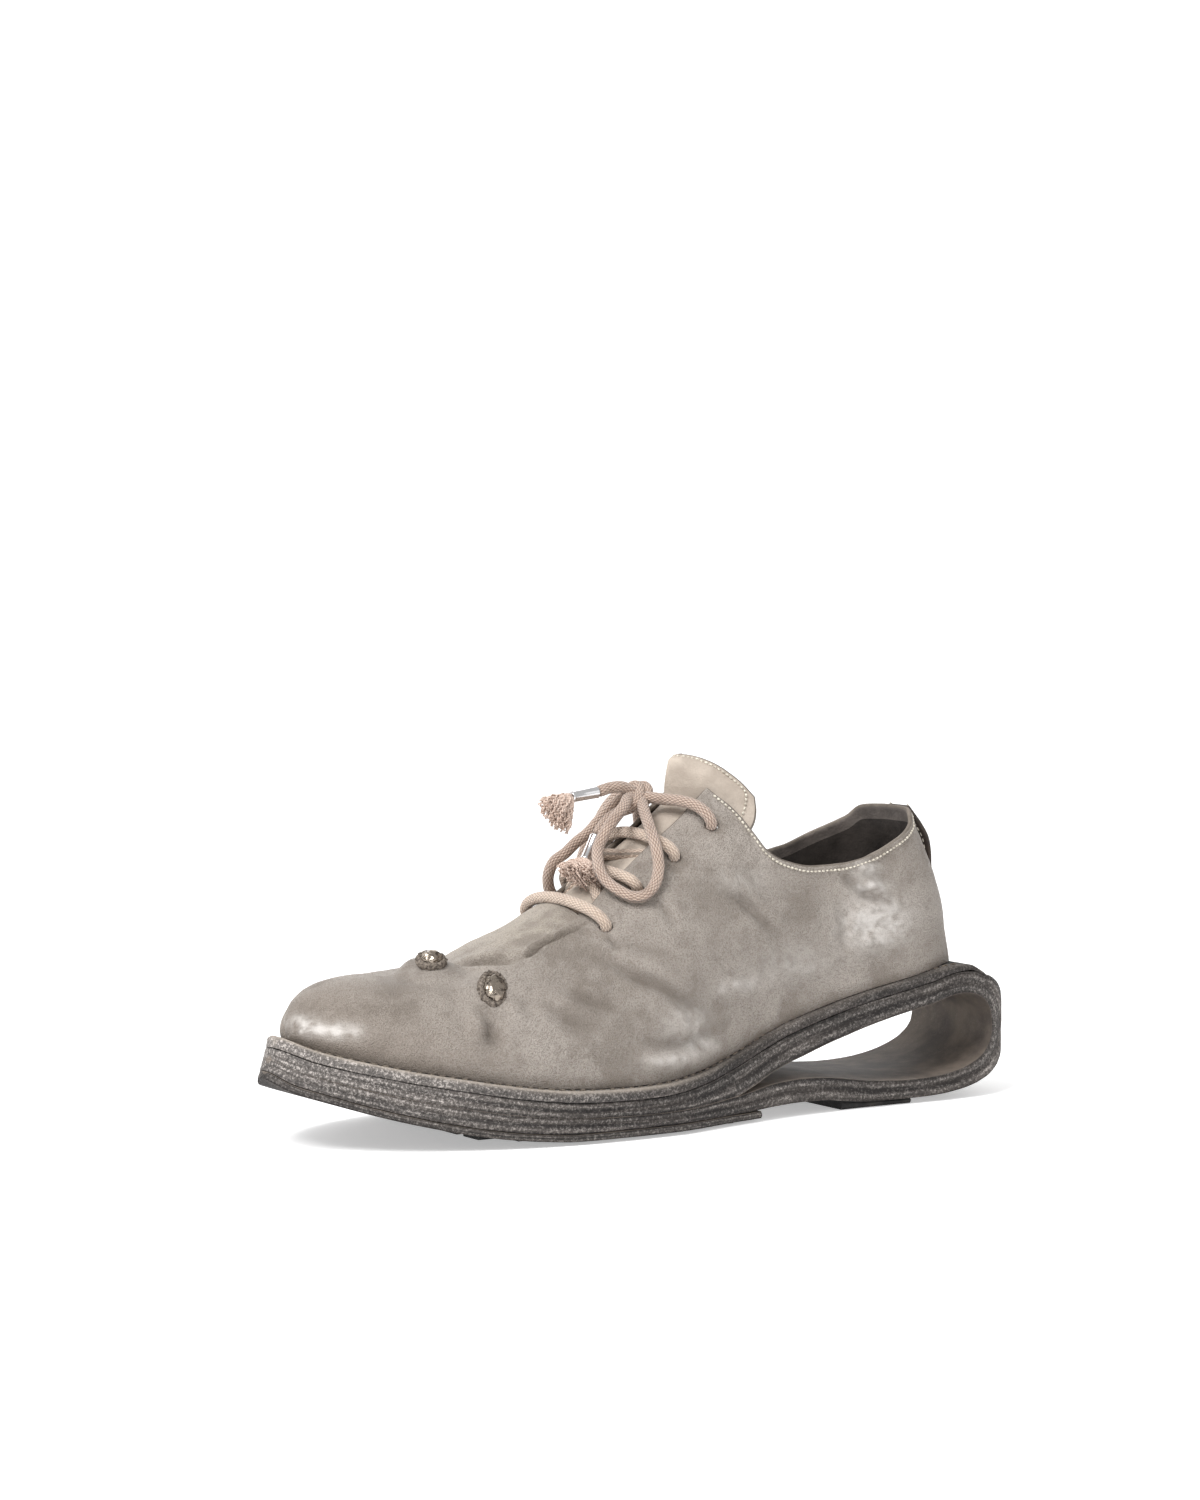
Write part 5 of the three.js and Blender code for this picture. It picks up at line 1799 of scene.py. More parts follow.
CREASES = (
    Crease("long_diagonal", -1.3, 2.6, (
        (0.37, -0.61, 0.589), (0.393, -0.7, 0.566), (0.416, -0.79, 0.521), (0.443, -0.84, 0.489),
        (0.462, -0.86, 0.451), (0.483, -0.86, 0.417), (0.498, -0.84, 0.398), (0.518, -0.81, 0.352),
    )),
    Crease("low_valley", -0.9, 3.4, (
        (0.409, -0.91, 0.32), (0.443, -0.9, 0.3), (0.481, -0.87, 0.303), (0.526, -0.79, 0.33),
    )),
    Crease("low_ridge", 1.0, 3.0, (
        (0.409, -0.91, 0.248), (0.437, -0.9, 0.235), (0.474, -0.87, 0.246), (0.507, -0.82, 0.269),
    )),
    Crease("mid_ridge", 0.8, 2.6, ((0.455, -0.88, 0.394), (0.468, -0.89, 0.353), (0.475, -0.88, 0.305))),
    Crease("mid_ridge_behind", 0.8, 2.6, (
        (0.498, -0.85, 0.391), (0.525, -0.8, 0.35), (0.539, -0.77, 0.353),
    )),
    Crease("gloss_ridge", 1.0, 2.2, (
        (0.527, -0.78, 0.501), (0.549, -0.76, 0.473), (0.569, -0.73, 0.445), (0.586, -0.71, 0.418),
    )),
    Crease("loop_line", -0.8, 2.2, (
        (0.566, -0.66, 0.742), (0.587, -0.67, 0.712), (0.608, -0.67, 0.662), (0.631, -0.66, 0.611),
    )),
    Crease("loop_line_above", -0.6, 2.0, (
        (0.552, -0.64, 0.766), (0.576, -0.66, 0.74), (0.6, -0.67, 0.697),
    )),
    Crease("upper_swell", 0.7, 3.0, ((0.569, -0.61, 0.822), (0.588, -0.63, 0.791), (0.607, -0.64, 0.758))),
    Crease("heel_fold_top", 0.9, 2.2, (
        (0.752, -0.58, 0.796), (0.764, -0.58, 0.818), (0.778, -0.58, 0.802),
    )),
    Crease("heel_fold_upper", 1.0, 2.0, (
        (0.751, -0.59, 0.759), (0.768, -0.59, 0.76), (0.791, -0.6, 0.733),
    )),
    Crease("heel_fold_long", -0.9, 2.2, (
        (0.726, -0.58, 0.803), (0.742, -0.59, 0.774), (0.77, -0.6, 0.716), (0.796, -0.6, 0.705),
    )),
    Crease("heel_fold_lower", 1.0, 3.0, (
        (0.755, -0.61, 0.671), (0.782, -0.6, 0.687), (0.805, -0.61, 0.656),
    )),
    Crease("heel_fold_upright", -0.7, 2.6, (
        (0.726, -0.61, 0.682), (0.727, -0.61, 0.614), (0.726, -0.61, 0.54),
    )),
    Crease("heel_swell_low", 0.8, 4.0, ((0.738, -0.6, 0.544), (0.765, -0.6, 0.56), (0.797, -0.6, 0.569))),
    Crease("eyelet_pull", -0.9, 1.6, ((0.399, -0.56, 0.651), (0.402, -0.61, 0.626), (0.407, -0.67, 0.602))),
    Crease("waist_swell", 0.8, 4.5, ((0.605, -0.69, 0.53), (0.647, -0.65, 0.508), (0.694, -0.61, 0.478))),
    Crease("tent_left", 1.0, 3.5, ((0.165, -0.12, 0.535), (0.196, 0.02, 0.546), (0.224, 0.14, 0.549))),
    Crease("stud_left", 1.2, 3.0, ((0.212, -0.62, 0.439), (0.215, -0.69, 0.404), (0.22, -0.75, 0.361))),
    Crease("stud_below", -1.8, 3.4, ((0.23, -0.71, 0.402), (0.228, -0.75, 0.366), (0.224, -0.79, 0.324))),
    Crease("stud_right", 1.2, 3.0, ((0.261, -0.62, 0.462), (0.264, -0.7, 0.427), (0.263, -0.76, 0.392))),
    Crease("vamp_fold", -1.6, 2.2, (
        (0.237, 0.0, 0.553), (0.26, -0.12, 0.562), (0.276, -0.3, 0.568), (0.29, -0.39, 0.573),
        (0.303, -0.4, 0.584),
    )),
    Crease("vamp_pucker", -1.3, 1.5, ((0.303, -0.4, 0.584), (0.311, -0.42, 0.59), (0.321, -0.4, 0.604))),
    Crease("facing_line", -1.0, 1.3, (
        (0.39, -0.42, 0.689), (0.373, -0.41, 0.665), (0.349, -0.39, 0.638), (0.327, -0.39, 0.612),
        (0.307, -0.43, 0.584),
    ), 0.7),
    Crease("side_fold_behind", -0.8, 3.0, (
        (0.324, -0.69, 0.503), (0.353, -0.8, 0.455), (0.387, -0.86, 0.419),
    )),
    Crease("side_fold_ahead", -0.7, 3.0, (
        (0.295, -0.71, 0.461), (0.322, -0.83, 0.397), (0.357, -0.89, 0.361),
    )),
    Crease("instep_fold", -0.7, 2.4, ((0.459, -0.56, 0.753), (0.472, -0.62, 0.728), (0.476, -0.69, 0.674))),
    Crease("instep_fold_long", -0.6, 3.2, (
        (0.409, -0.64, 0.617), (0.441, -0.73, 0.599), (0.476, -0.79, 0.563),
    )),
    Crease("inner_fold", -0.9, 3.0, ((0.3, 0.4, 0.55), (0.34, 0.62, 0.5), (0.4, 0.72, 0.42))),
    Crease("inner_waist", -0.8, 3.4, ((0.45, 0.62, 0.62), (0.52, 0.6, 0.55), (0.58, 0.56, 0.5))),
    Crease("inner_heel", 0.9, 3.4, ((0.74, 0.56, 0.7), (0.79, 0.57, 0.68), (0.84, 0.54, 0.66))),
)


@dataclass(frozen=True)
class Patch:
    """A place where the leather is rubbed glossy and gets a painted highlight, by its middle as shares like a
    crease's, and its size.
    """

    along: float
    out: float
    up: float
    length: float
    height: float
    strength: float = 1.0


# Rubbed patches that are less rough and get a painted highlight.
GLOSS_AND_PAINTED_HIGHLIGHT = (
    Patch(0.043, -0.18, 0.397, 4.5, 3.2, 1.3), Patch(0.07, -0.37, 0.382, 6, 2.8, 1.2),
    Patch(0.475, -0.88, 0.36, 10, 6, 0.8), Patch(0.5, -0.83, 0.28, 9, 3, 0.9),
    Patch(0.45, -0.9, 0.245, 12, 3, 0.9), Patch(0.56, -0.74, 0.46, 12, 2.5, 0.8),
    Patch(0.765, -0.59, 0.81, 7, 4, 0.8), Patch(0.77, -0.59, 0.755, 8, 2.5, 0.9),
    Patch(0.775, -0.6, 0.63, 15, 9, 1.4), Patch(0.65, -0.65, 0.51, 20, 7, 0.5),
    Patch(0.58, -0.64, 0.8, 12, 5, 0.4), Patch(0.2, 0.0, 0.55, 16, 8, 0.3),
)


@dataclass
class Upper:
    """The leather upper: one piece with slits along its facings, lace holes, folds and a lining."""

    side_rows: int = 60
    ridge_rows: int = 16
    hole_radius: float = 2.5
    hole_gap: float = 23.3
    tent_height: float = 4.2
    tent_reach: float = 8
    stitch_inset: float = 1.7
    fold_gain: float = 1.5

    @property
    def holes(self) -> list[tuple[float, float]]:
        """Each lace hole's distance along and out, from the lowest pair up."""
        shares = ((0.4026, 1.18), (0.452, 1.03), (0.505, 1), (0.557, 1))
        return [(along * LAST.length, out * self.hole_gap) for along, out in shares]

    def stations(self) -> Array:
        """The upper's sections, from the toe to the heel's back.

        Returns:
            Distances from the toe.
        """
        toe = 0.144 * LAST.length
        low = 0.65 * LAST.length
        parts = [
            crowded(LAST.toe_ledge, toe, 30),
            np.linspace(toe, LAST.tab_end, 60)[1:],
            np.linspace(LAST.tab_end, LAST.collar_start, 46)[1:],
            np.linspace(LAST.collar_start, low, 22)[1:],
            np.linspace(low, LAST.heel_round, 38)[1:],
            crowded(LAST.upper_end, LAST.heel_round, 26)[::-1][1:],
        ]
        return np.concatenate(parts)

    def even_turns(self, along: Array, start: Array, end: Array, rows: int, side: Side) -> Array:
        """Turns that lie evenly over each section between two turns.

        Args:
            along: The sections.
            start: Each section's first turn.
            end: Each section's last turn.
            rows: How many steps between them.
            side: The side of the foot.

        Returns:
            Turns by section and row.
        """
        fine = np.linspace(0, 1, 161) ** 2.4
        turns = start[:, None] + (end - start)[:, None] * fine
        points = LAST.upper_point(along[:, None] + turns * 0, turns, side)
        steps = np.linalg.norm(np.diff(points, axis=1), axis=-1) + 1e-9
        run = np.concatenate([np.zeros((len(along), 1)), np.cumsum(steps, axis=1)], axis=1)
        even = np.linspace(0, 1, rows + 1)
        return np.array([np.interp(even * r[-1], r, t) for r, t in zip(run, turns)])

    def grid(self) -> tuple[Array, list[tuple[int, ...]], list[int]]:
        """The outside before its folds, its quads and each quad's inside slot.

        Returns:
            The points, the quads and the slots.
        """
        stations = self.stations()
        front = stations[stations <= LAST.tab_end + 1e-6]
        points: list[Array] = []
        quads: list[tuple[int, ...]] = []
        inside: list[int] = []
        first = 0
        for side in Side:
            flipped = side is Side.LATERAL
            top = LAST.top_turn(stations, side)
            for along, start, end, rows in (
                (stations, top * 0, top, self.side_rows),
                (front, top[: len(front)], top[: len(front)] * 0 + math.pi / 2, self.ridge_rows),
            ):
                turns = self.even_turns(along, start, end, rows, side)
                sheet = LAST.upper_point(along[:, None] + turns * 0, turns, side)
                points.append(sheet.reshape(-1, 3))
                made = grid_quads(len(along), rows + 1, first, flipped)
                quads += made
                collar = along[:-1] > LAST.collar_start
                bound = (np.arange(rows)[None, :] > rows - 6) & collar[:, None] & (rows == self.side_rows)
                facing = (np.arange(rows)[None, :] > rows - 8) & ~collar[:, None] & (rows == self.side_rows)
                inside += np.where(bound, 3, np.where(facing, 2, 1)).ravel().tolist()
                first += len(along) * (rows + 1)
        joined = np.vstack(points)
        joined[np.abs(joined[:, 1]) < 0.02, 1] = 0
        return joined, quads, inside

    def relief(self, points: Array) -> tuple[Array, Array]:
        """The folds at points of the outside.

        Args:
            points: Places in millimetres.

        Returns:
            How far each stands out, and how much painted shade it gets, from 0 to 1: along the troughs and
            round the lace holes.
        """
        height = np.zeros(len(points))
        dark = np.zeros(len(points))
        scale = np.array([LAST.length, LAST.ball, LAST.back])
        for crease in CREASES:
            rows = np.array(crease.line) * scale
            rows[:, 0] -= LAST.length / 2
            line = spline(rows, 1.5)
            near = np.linalg.norm(points - line.mean(axis=0), axis=1) < 60
            held = points[near]
            gaps = np.linalg.norm(held[:, None, :] - line[None, :, :], axis=-1)
            closest = gaps.argmin(axis=1)
            offset = gaps.min(axis=0)
            gap = np.sqrt(np.maximum(gaps.min(axis=1) ** 2 - offset[closest] ** 2, 0)) / crease.width
            share = closest / (len(line) - 1)
            taper = np.sin(math.pi * np.clip(share * 0.92 + 0.04, 0, 1)) ** 0.7
            middle = np.exp(-(gap**2))
            sides = np.exp(-(((gap - 1.9) / 0.9) ** 2)) * crease.shoulder
            height[near] += self.fold_gain * crease.height * taper * (middle - sides)
            # Painted shade along the troughs.
            if crease.height < 0:
                dark[near] += taper * np.exp(-((gap * 1.6) ** 2)) * min(-crease.height, 1)
        for along, out, reach, rise in (
            (0.205 * LAST.length, -6, self.tent_reach, self.tent_height),
            (0.2476 * LAST.length, -28.2, 8.5, 2.0),
        ):
            centre = LAST.surface(along, out)[0]
            gap = np.linalg.norm(points - centre, axis=1) / reach
            height += rise * np.exp(-(gap**2)) - 0.25 * rise * np.exp(-(((gap - 1.7) / 0.5) ** 2))
        for along, out in self.holes:
            for side in Side:
                centre = LAST.surface(along, side.value * out)[0]
                gap = np.linalg.norm(points - centre, axis=1) / self.hole_radius
                height -= 0.5 * np.exp(-((gap / 1.5) ** 2))
                # Painted shade round the lace holes.
                dark += 0.5 * np.exp(-((gap / 1.5) ** 2))
        return height, dark

    def fields(self, made: Piece) -> None:
        """Paints the crease shade, gloss and painted highlight, toe and vamp highlight numbers on the
        finished mesh.

        Args:
            made: The piece.
        """
        flat = np.zeros(len(made.data.vertices) * 3)
        made.data.vertices.foreach_get("co", flat)
        points = flat.reshape(-1, 3) / MM
        _, dark = self.relief(points)
        along = points[:, 0] + LAST.length / 2
        # Painted shade: creases, lace holes and a 5 mm band along the upper's foot at the welt.
        foot = np.clip(1 - (points[:, 2] - LAST.top_line(along)) / 5, 0, 1)
        paint(made, "crease", np.clip(dark + foot * 0.9, 0, 1))
        # Rubbed patches: less rough, and a painted highlight in the colour.
        gloss_and_painted_highlight = np.zeros(len(points))
        breakup = rough_noise(points, 3.2, 31, 3) * 0.6 + 0.62
        for patch in GLOSS_AND_PAINTED_HIGHLIGHT:
            middle = LAST.at(patch.along * LAST.length, patch.out * LAST.ball, patch.up * LAST.back)
            away = (points - middle) / np.array([patch.length, max(patch.length, 12), patch.height])
            gloss_and_painted_highlight += patch.strength * np.exp(-(away**2).sum(axis=1))
        paint(made, "gloss_and_painted_highlight", np.clip(gloss_and_painted_highlight * breakup, 0, 1))
        toe = np.clip((0.3 * LAST.length - along) / (0.24 * LAST.length), 0, 1)
        low = np.clip((LAST.toe_box - points[:, 2]) / 30, 0, 1)
        paint(made, "toe", toe * (0.45 + 0.55 * low))
        # Painted highlight on the top of the vamp's bulge, between the studs and the lace holes.
        bulge = np.exp(-(((along - 0.33 * LAST.length) / 24) ** 2)) * np.clip((points[:, 1] + 26) / 14, 0, 1)
        paint(made, "painted_vamp_highlight", bulge * np.clip((points[:, 2] - 55) / 8, 0, 1))

    def build(self, materials: Sequence[Material]) -> Piece:
        """Makes the upper.

        Args:
            materials: The leather, the lining, the rim's and the binding's.

        Returns:
            The piece.
        """
        raw, quads, inside = self.grid()
        points, inverse, kept = welded(raw, quads)
        distinct = np.array([len(set(q)) >= 3 for q in inverse[np.array(quads)].tolist()])
        normals = vertex_normals(points, kept)
        base = self.ground(points[:, 0])
        grounded = np.abs(points[:, 2] - base) < 0.05
        height, _ = self.relief(points)
        waves = rough_noise(points, 26, 41, 2) * 0.55 + rough_noise(points, 8, 47, 2) * 0.16
        free = np.clip((points[:, 2] - base) / 8, 0, 1)
        points = points + normals * ((height + waves) * free)[:, None]
        points[grounded, 2] = base[grounded]
        wall = shell(points, kept, LAST.leather, self.ground)
        slots = np.array(wall.slots)
        inner = np.flatnonzero(slots == 1)
        slots[inner] = np.array(inside)[distinct]
        wall.slots = slots.tolist()
        made = wall.object("upper_leather", materials, crisp=50)
        self.punch(made)
        self.fields(made)
        return settle(made, "leather", "upper")

    def ground(self, x: Array) -> Array:
        """The height of the upper's foot at places on the frame's first axis."""
        return LAST.top_line(x + LAST.length / 2) + LAST.seam

    def punch(self, made: Piece) -> None:
        """Cuts the lace holes through the wall.

        Args:
            made: The piece.
        """
        drills = None
        for along, out in self.holes:
            for side in Side:
                point, normal, forward = LAST.surface(along, side.value * out)
                beside = np.cross(normal, forward)
                angles = np.linspace(0, 2 * math.pi, 25)[:-1]
                ring = np.outer(np.cos(angles), forward) + np.outer(np.sin(angles), beside)
                rings = np.array([point + normal * up + ring * self.hole_radius for up in (-6, 6)])
                drill = loft(rings)
                drills = drill if drills is None else drills.joined(drill)
        cutter = drills.object("drills", [])
        cut = made.modifiers.new("holes", "BOOLEAN")
        cut.operation = "DIFFERENCE"
        cut.solver = "EXACT"
        cut.object = cutter
        bpy.context.view_layer.update()
        evaluated = made.evaluated_get(bpy.context.evaluated_depsgraph_get())
        made.data = bpy.data.meshes.new_from_object(evaluated)
        made.modifiers.clear()
        bpy.data.objects.remove(cutter)
        made.data.polygons.foreach_set("use_smooth", np.ones(len(made.data.polygons), bool))

    def build_stitches(self, material: Material) -> Piece:
        """Makes the stitches along the collar, behind the facings' corners.

        Args:
            material: Their finish.

        Returns:
            The piece.
        """
        lines = []
        for side in Side:
            along = np.linspace(LAST.collar_start + 0.5, LAST.upper_end - 0.6, 420)
            top = LAST.top_turn(along, side)
            edge = LAST.upper_point(along, top, side)
            below = LAST.upper_point(along, top * 0.9, side)
            inset = edge + unit(below - edge) * self.stitch_inset
            turn = LAST.turn_at_height(along, inset[:, 2])
            line = LAST.upper_point(along, turn, side)
            lines.append(line + self.outward(along, turn, side) * 0.35)
        guide, edges = lines_guide(lines)
        repeat = stitch_repeat(1.3, 0.5, 0.85)
        return settle(repeat.run(guide, "collar_stitches", material, edges), "leather")

    def outward(self, along: Array, turn: Array, side: Side) -> Array:
        """The outward normals at turns of sections.

        Args:
            along: Distances from the toe.
            turn: Turns.
            side: The side of the foot.

        Returns:
            Unit normals.
        """
        up = LAST.upper_point(along, turn + 0.01, side) - LAST.upper_point(along, turn - 0.01, side)
        ahead = LAST.upper_point(np.minimum(along + 0.4, LAST.upper_end), turn, side)
        ahead = ahead - LAST.upper_point(along - 0.4, turn, side)
        normal = unit(np.cross(ahead, up))
        return normal * np.where(normal[:, 1:2] * side.value < 0, -1, 1)


# What sits in and on the upper


@dataclass
class Tongue:
    """The tongue: under the vamp's tab and the facings, then standing up before the ankle."""

    height: float = 134
    half: float = 23
    thickness: float = 2
    depth: float = 3.0
    bulge: float = 2.6
    medial: float = 0.82
    rows: tuple[tuple[float, ...], ...] = (
        (0.345, 0.345, 0.5, 0.45, 0.82, 0), (0.395, 0.4, 0.6, 0.55, 0.9, 0),
        (0.445, 0.455, 0.67, 0.6, 0.95, 0), (0.49, 0.505, 0.74, 0.68, 0.98, 0),
        (0.518, 0.545, 0.81, 0.72, 1.0, 0), (0.531, 0.572, 0.838, 0.74, 1.0, 0.1),
        (0.537, 0.6, 0.872, 0.76, 1.0, 0.8), (0.539, 0.609, 0.922, 0.79, 1.0, 1),
        (0.5415, 0.616, 0.962, 0.815, 1.0, 1), (0.5455, 0.6215, 0.988, 0.852, 0.955, 1),
        (0.555, 0.625, 1.0, 0.885, 0.86, 1),
    )

    def point(self, run: float, side: float) -> Array:
        """A point of its outside, from its foot at run 0 to its top at 1, and across from -1 to 1.

        Args:
            run: How far up it, from 0 to 1.
            side: Where across it, from -1 to 1.

        Returns:
            The point in millimetres.
        """
        last = len(self.rows) - 1
        indexed = [(i / last, *row) for i, row in enumerate(self.rows)]
        along, edge, up, edge_up, width, free = (float(curve_through(indexed, k)(run)) for k in range(1, 7))
        wrap = abs(side) ** 1.05
        place = LAST.length * (along + (edge - along) * wrap)
        out = side * width * self.half * (self.medial if side > 0 else 1)
        height = self.height * (up + (edge_up - up) * abs(side) ** 2.2)
        surface, normal, _ = LAST.surface(place, out)
        bulge = self.bulge * math.exp(-((side / 0.42) ** 2)) * math.sin(math.pi * min(run * 1.15, 1)) ** 0.5
        least = LAST.leather + 0.6
        under = surface - normal * (least + (self.depth - least) * (1 - free) - bulge)
        return under + (LAST.at(place, out, height) - under) * free

    def build(self, face: Material, rim: Material) -> Piece:
        """Makes the tongue.

        Args:
            face: The finish of its faces.
            rim: The rim's finish.

        Returns:
            The piece.
        """
        runs, sides = np.linspace(0, 1, 84), np.linspace(-1, 1, 45)
        points = np.array([self.point(run, side) for run in runs for side in sides])
        quads = grid_quads(len(runs), len(sides), 0, True)
        points, _, kept = welded(points, quads)
        normals = vertex_normals(points, kept)
        waves = rough_noise(points, 18, 61, 2) * 0.5 + rough_noise(points, 6, 67, 2) * 0.12
        wall = shell(points + normals * waves[:, None], kept, self.thickness)
        return settle(wall.object("tongue_leather", [face, face, rim], crisp=60), "leather", "tongue")

    def build_stitches(self, material: Material) -> Piece:
        """Makes the stitches round its free edge.

        Args:
            material: Their finish.

        Returns:
            The piece.
        """
        inset = 0.9
        up = [self.point(run, -inset) for run in np.linspace(0.5, 0.955, 60)]
        over = [self.point(0.965, side) for side in np.linspace(-inset, inset, 60)]
        down = [self.point(run, inset) for run in np.linspace(0.955, 0.5, 60)]
        line = spline(np.array(up + over[2:-2] + down), 1.0)
        middle = self.point(0.7, 0)
        forward = np.array([-1.0, 0, 0.35])
        guide, edges = lines_guide([line + unit(forward) * 0.25 + (line - middle) * 0.004])
        repeat = stitch_repeat(1.3, 0.5, 0.85)
        return settle(repeat.run(guide, "tongue_stitches", material, edges), "leather")


@dataclass
class Insole:
    """The plate that the foot rests on, inside the upper."""

    thickness: float = 2.5

    def build(self, material: Material) -> Piece:
        """Makes the insole.

        Args:
            material: Its finish.

        Returns:
            The piece.
        """
        inset = LAST.leather + 2 * LAST.seam
        ends = (LAST.toe_ledge + inset + 0.8, LAST.upper_end - inset - 0.8)
        bend = 0.16 * LAST.length
        along = np.concatenate([
            crowded(ends[0], bend, 20), np.linspace(bend, LAST.heel_round, 80)[1:],
            crowded(ends[1], LAST.heel_round, 20)[::-1][1:],
        ])
        moved = np.where(along < 0.3 * LAST.length, along - inset, along + inset)
        low = LAST.top_line(along) + LAST.seam
        halves = []
        for side in Side:
            half = LAST.base_half(np.clip(moved, LAST.toe_ledge, LAST.upper_end), side) - inset
            halves.append(np.maximum(half, 0.6))
        columns = []
        for across in np.linspace(-1, 1, 25):
            half = halves[0] if across < 0 else halves[1]
            dish = 0.5 * (1 - across**2)
            columns.append(LAST.at(along, across * half, low + self.thickness - dish))
        top = np.stack(columns, axis=1)
        under = np.stack([LAST.at(along, halves[1], low), LAST.at(along, -halves[0], low)], axis=1)
        rings = np.concatenate([top, under], axis=1)
        return settle(loft(rings).object("insole_board", [material], 40), "insole", "insole")


@dataclass
class PullStrap:
    """The loop outside the heel's back, with a row of stitches down each edge."""

    width: float = 15
    thickness: float = 2.2
    rows: tuple[tuple[float, float], ...] = (
        (0.9, 0.995), (0.785, 0.972), (0.605, 0.935), (0.44, 0.89), (0.374, 0.84), (0.358, 0.785),
        (0.326, 0.74), (0.25, 0.7),
    )

    def path(self) -> Array:
        """The middle line of the strap."""
        points = [LAST.at(LAST.upper_end - a * LAST.back_lean, 0, h * LAST.back) for a, h in self.rows]
        return spline(np.array(points), 0.6)

    def outward(self) -> Array:
        """The direction away from the heel at each point of the path."""
        forward = unit(np.gradient(self.path(), axis=0))
        return np.stack([forward[:, 2] * -1, forward[:, 1] * 0, forward[:, 0]], axis=1) * -1

    def build(self, material: Material) -> Piece:
        """Makes the strap.

        Args:
            material: Its finish.

        Returns:
            The piece.
        """
        path, outward = self.path(), self.outward()
        angles = np.linspace(0, 2 * math.pi, 36, endpoint=False)
        across = np.sign(np.cos(angles)) * np.abs(np.cos(angles)) ** 0.25 * self.width / 2
        up = np.sign(np.sin(angles)) * np.abs(np.sin(angles)) ** 0.7 * self.thickness / 2
        rings = path[:, None, :] + outward[:, None, :] * up[None, :, None]
        rings = rings + np.array([0, 1.0, 0]) * across[None, :, None]
        return settle(loft(rings).object("pull_strap_loop", [material], 50), "strap", "pull_strap")

    def build_stitches(self, material: Material) -> Piece:
        """Makes the stitches.

        Args:
            material: Their finish.

        Returns:
            The piece.
        """
        lines = []
        for across in (-1, 1):
            for face in (-1, 1):
                line = self.path() + self.outward() * face * (self.thickness / 2 + 0.02)
                line[:, 1] += across * (self.width / 2 - 1.9)
                lines.append(line)
        guide, edges = lines_guide(lines)
        return settle(stitch_repeat(1.5, 0.9, 0.6).run(guide, "strap_stitches", material, edges), "strap")


